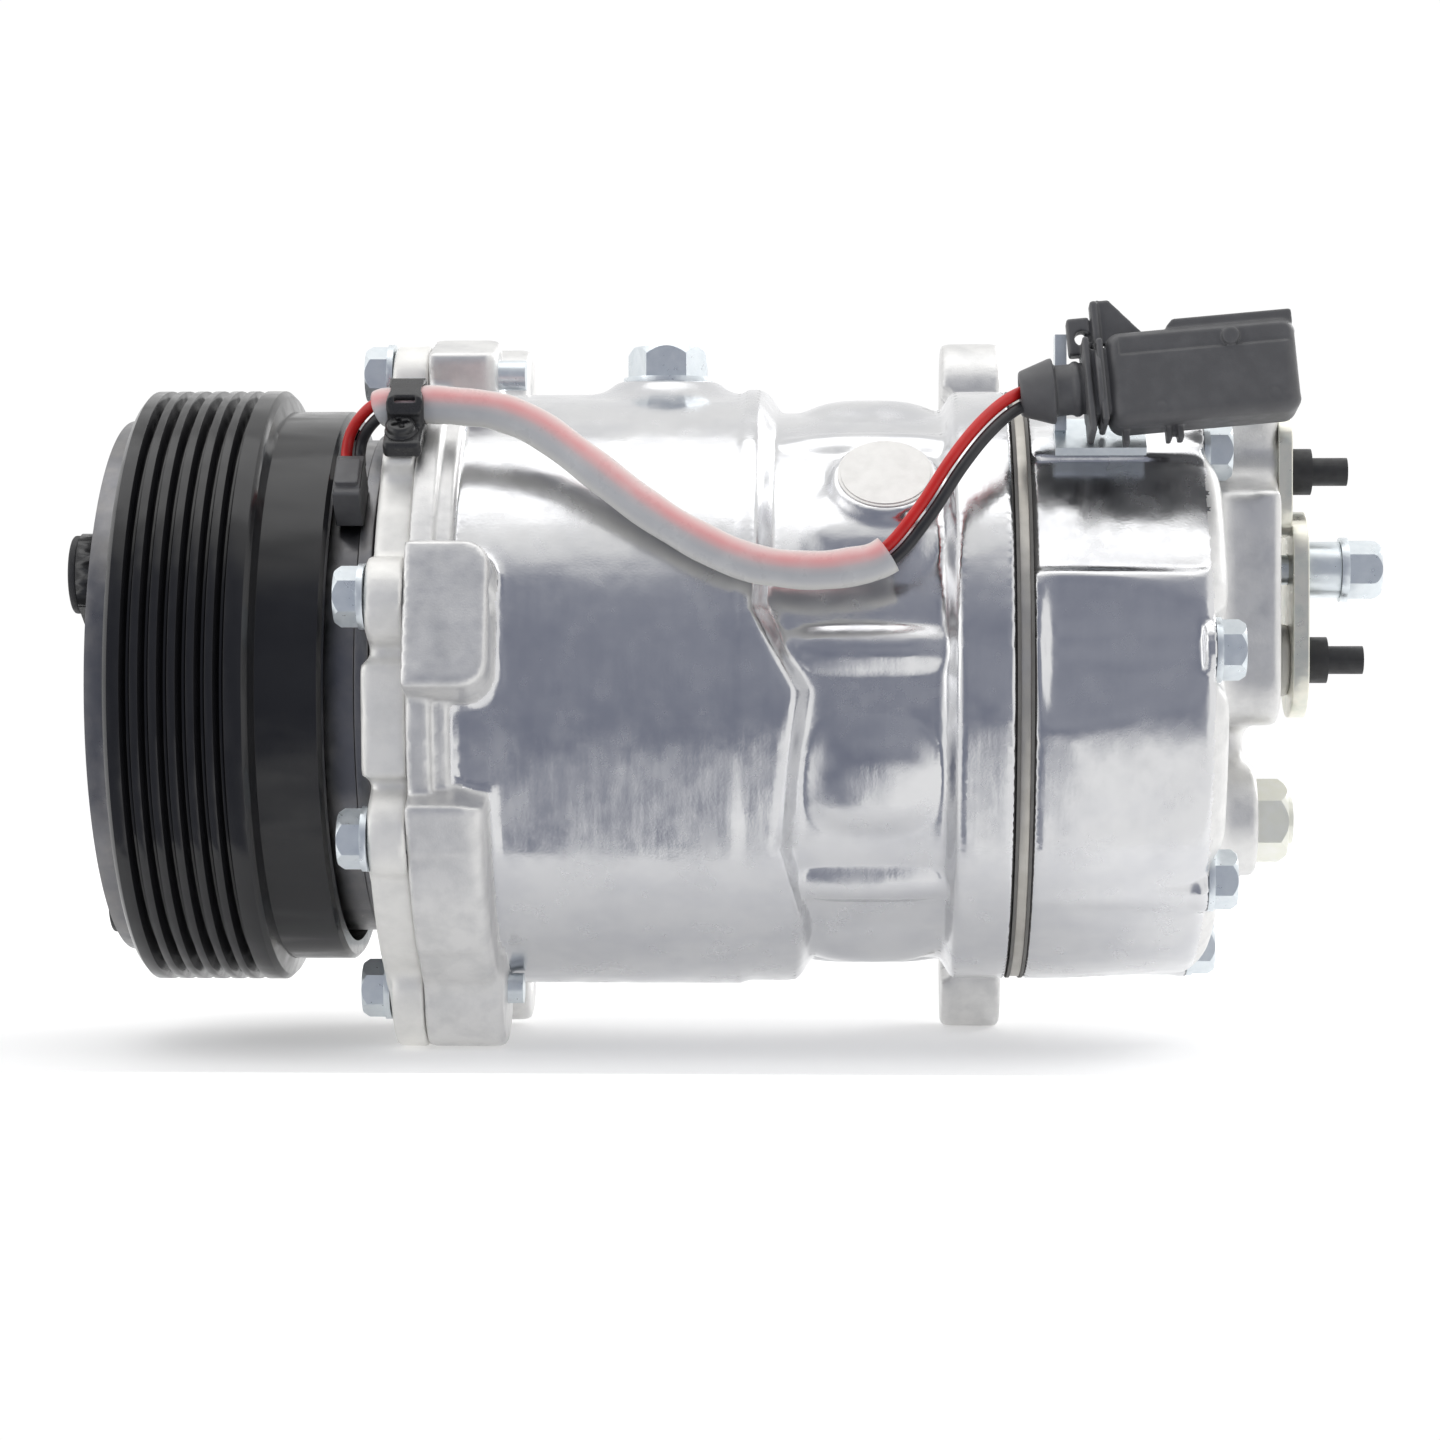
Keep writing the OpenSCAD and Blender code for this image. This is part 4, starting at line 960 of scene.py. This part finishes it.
def latch(x, y, z):
    """Lever with its slanting fin."""
    fin = np.maximum(np.maximum((x + 15.5) * 0.76 + (z - 16.9) * 0.65, -(x + 17.6)), 8 - z)
    fin = np.maximum(np.maximum(fin, z - 16.6), np.abs(y) - 1.0)
    return join(fin, sd_box(x + 18.1, y, z - 10.6, (0.8, 2.1, 5.9), 0.7), 0.4)


def slide_tab(x, y, z):
    """The tab by which the connector sits on its strap."""
    tab = sd_box(x + 21.4, y, z - 9.8, (2.2, 2.0, 3.6), 0.6)
    tab = cut(tab, sd_rod(x + 20.8, z - 9.4, y, 1.5, 6), 0.3)
    return join(tab, sd_box(x + 19.2, y - 1, z - 8.4, (1.0, 1.2, 3.6), 0.5), 0.4)


def make_connector():
    field = Field(CONNECTOR_LOW, CONNECTOR_HIGH, CONNECTOR_PITCH)
    x, y, z = field.x, field.y, field.z
    # shell, narrower above, with the rib on top
    body = sd_box(x - 1, y, z, SHELL_HALF, SHELL_ROUND)
    body = np.maximum(body, np.where((z > UPPER_Z) & (x > UPPER_X), np.abs(y) - UPPER_HALF_Y, -9))
    rib = sd_box(x - 6.8, y, z - 9.4, (11.9, 5, 1.5), 0.5)
    rib = np.maximum(rib, (z - 9.6) * 0.7 - (x + 5) * 0.7)
    body = join(body, rib, 0.5)
    # groove, stud and ring marks on both sides
    for side in (-1, 1):
        body = cut(body, sd_box(x - 2.5, y - side * 7, z - 4.6, GROOVE_HALF, 0.05), 0.1)
        body = join(body, sd_rod(x - 6.6, z - 6.1, y - side * 6.8, 1.7, 1.0, 0.5), 0.3)
        for at_x, at_z in RING_MARKS:
            ring = np.abs(radius(x - at_x, z - at_z) - RING_R) - RING_HALF_WIDTH
            body = cut(body, np.maximum(ring, 6.75 - side * y), 0.1)
    for at, half in TABS:
        body = join(body, sd_box(x - at, y, z + 9.9, (half, 2.2, 1.9), 0.3), 0.4)
    body = join(body, sd_box(x + 5.1, y, z + 9.5, (1.4, 1.4, 1.2), 0.2), 0.2)
    body = join(body, latch(x, y, z), 0.5)
    for at, half_y, half_z, low in COLLARS:
        body = join(body, sd_box(x - at, y, z - low, (0.65, half_y, half_z), 0.5), 0.3)
    body = join(body, sd_box(x + 19, y, z, (2.4, 5.6, 6.4), 0.8), 0.4)
    body = join(body, slide_tab(x, y, z), 0.3)
    # socket with its two blades, and the hole for the boot
    body = cut(body, sd_box(x - 13, y, z, SOCKET_HALF, 1.6), 0.4)
    for at in BLADES:
        body = join(body, sd_box(x - 8, y, z - at, BLADE_HALF, 0.2), 0.1)
    body = cut(body, sd_rod(y, z, x + 24, 4.0, 5.4), 0.3)
    points, faces = field.polygons(body)
    add_mesh("connector_shell", connector_axes(points), faces, "plastic", ["connector_housing"])


def make_boot():
    field = Field(BOOT_LOW, BOOT_HIGH, BOOT_PITCH)
    x, y, z = field.x, field.y, field.z
    cone_r = BOOT_CONE_R + (x - BOOT_CONE_X) * BOOT_WIDENS
    cone = np.maximum(radius(y, z) - cone_r, np.maximum(BOOT_TIP_X - x, x - BOOT_END_X))
    cone = field.blur(np.broadcast_to(cone, field.shape).copy(), 0.3)
    boot = join(cone, sd_rod(y, z, x + 23.2, 4.85, 4.4, 0.5), 0.8)
    for at, collar_r, half in BOOT_COLLARS:
        boot = join(boot, sd_rod(y, z, x - at, collar_r, half, 0.4), 0.6)
    boot = cut(boot, sd_rod(y, z, x + 30, 2.9, 8.5), 0.5)
    points, faces = field.polygons(boot)
    add_mesh("connector_boot_seal", connector_axes(points), faces, "plastic", ["connector_boot"])


make_connector()
make_boot()
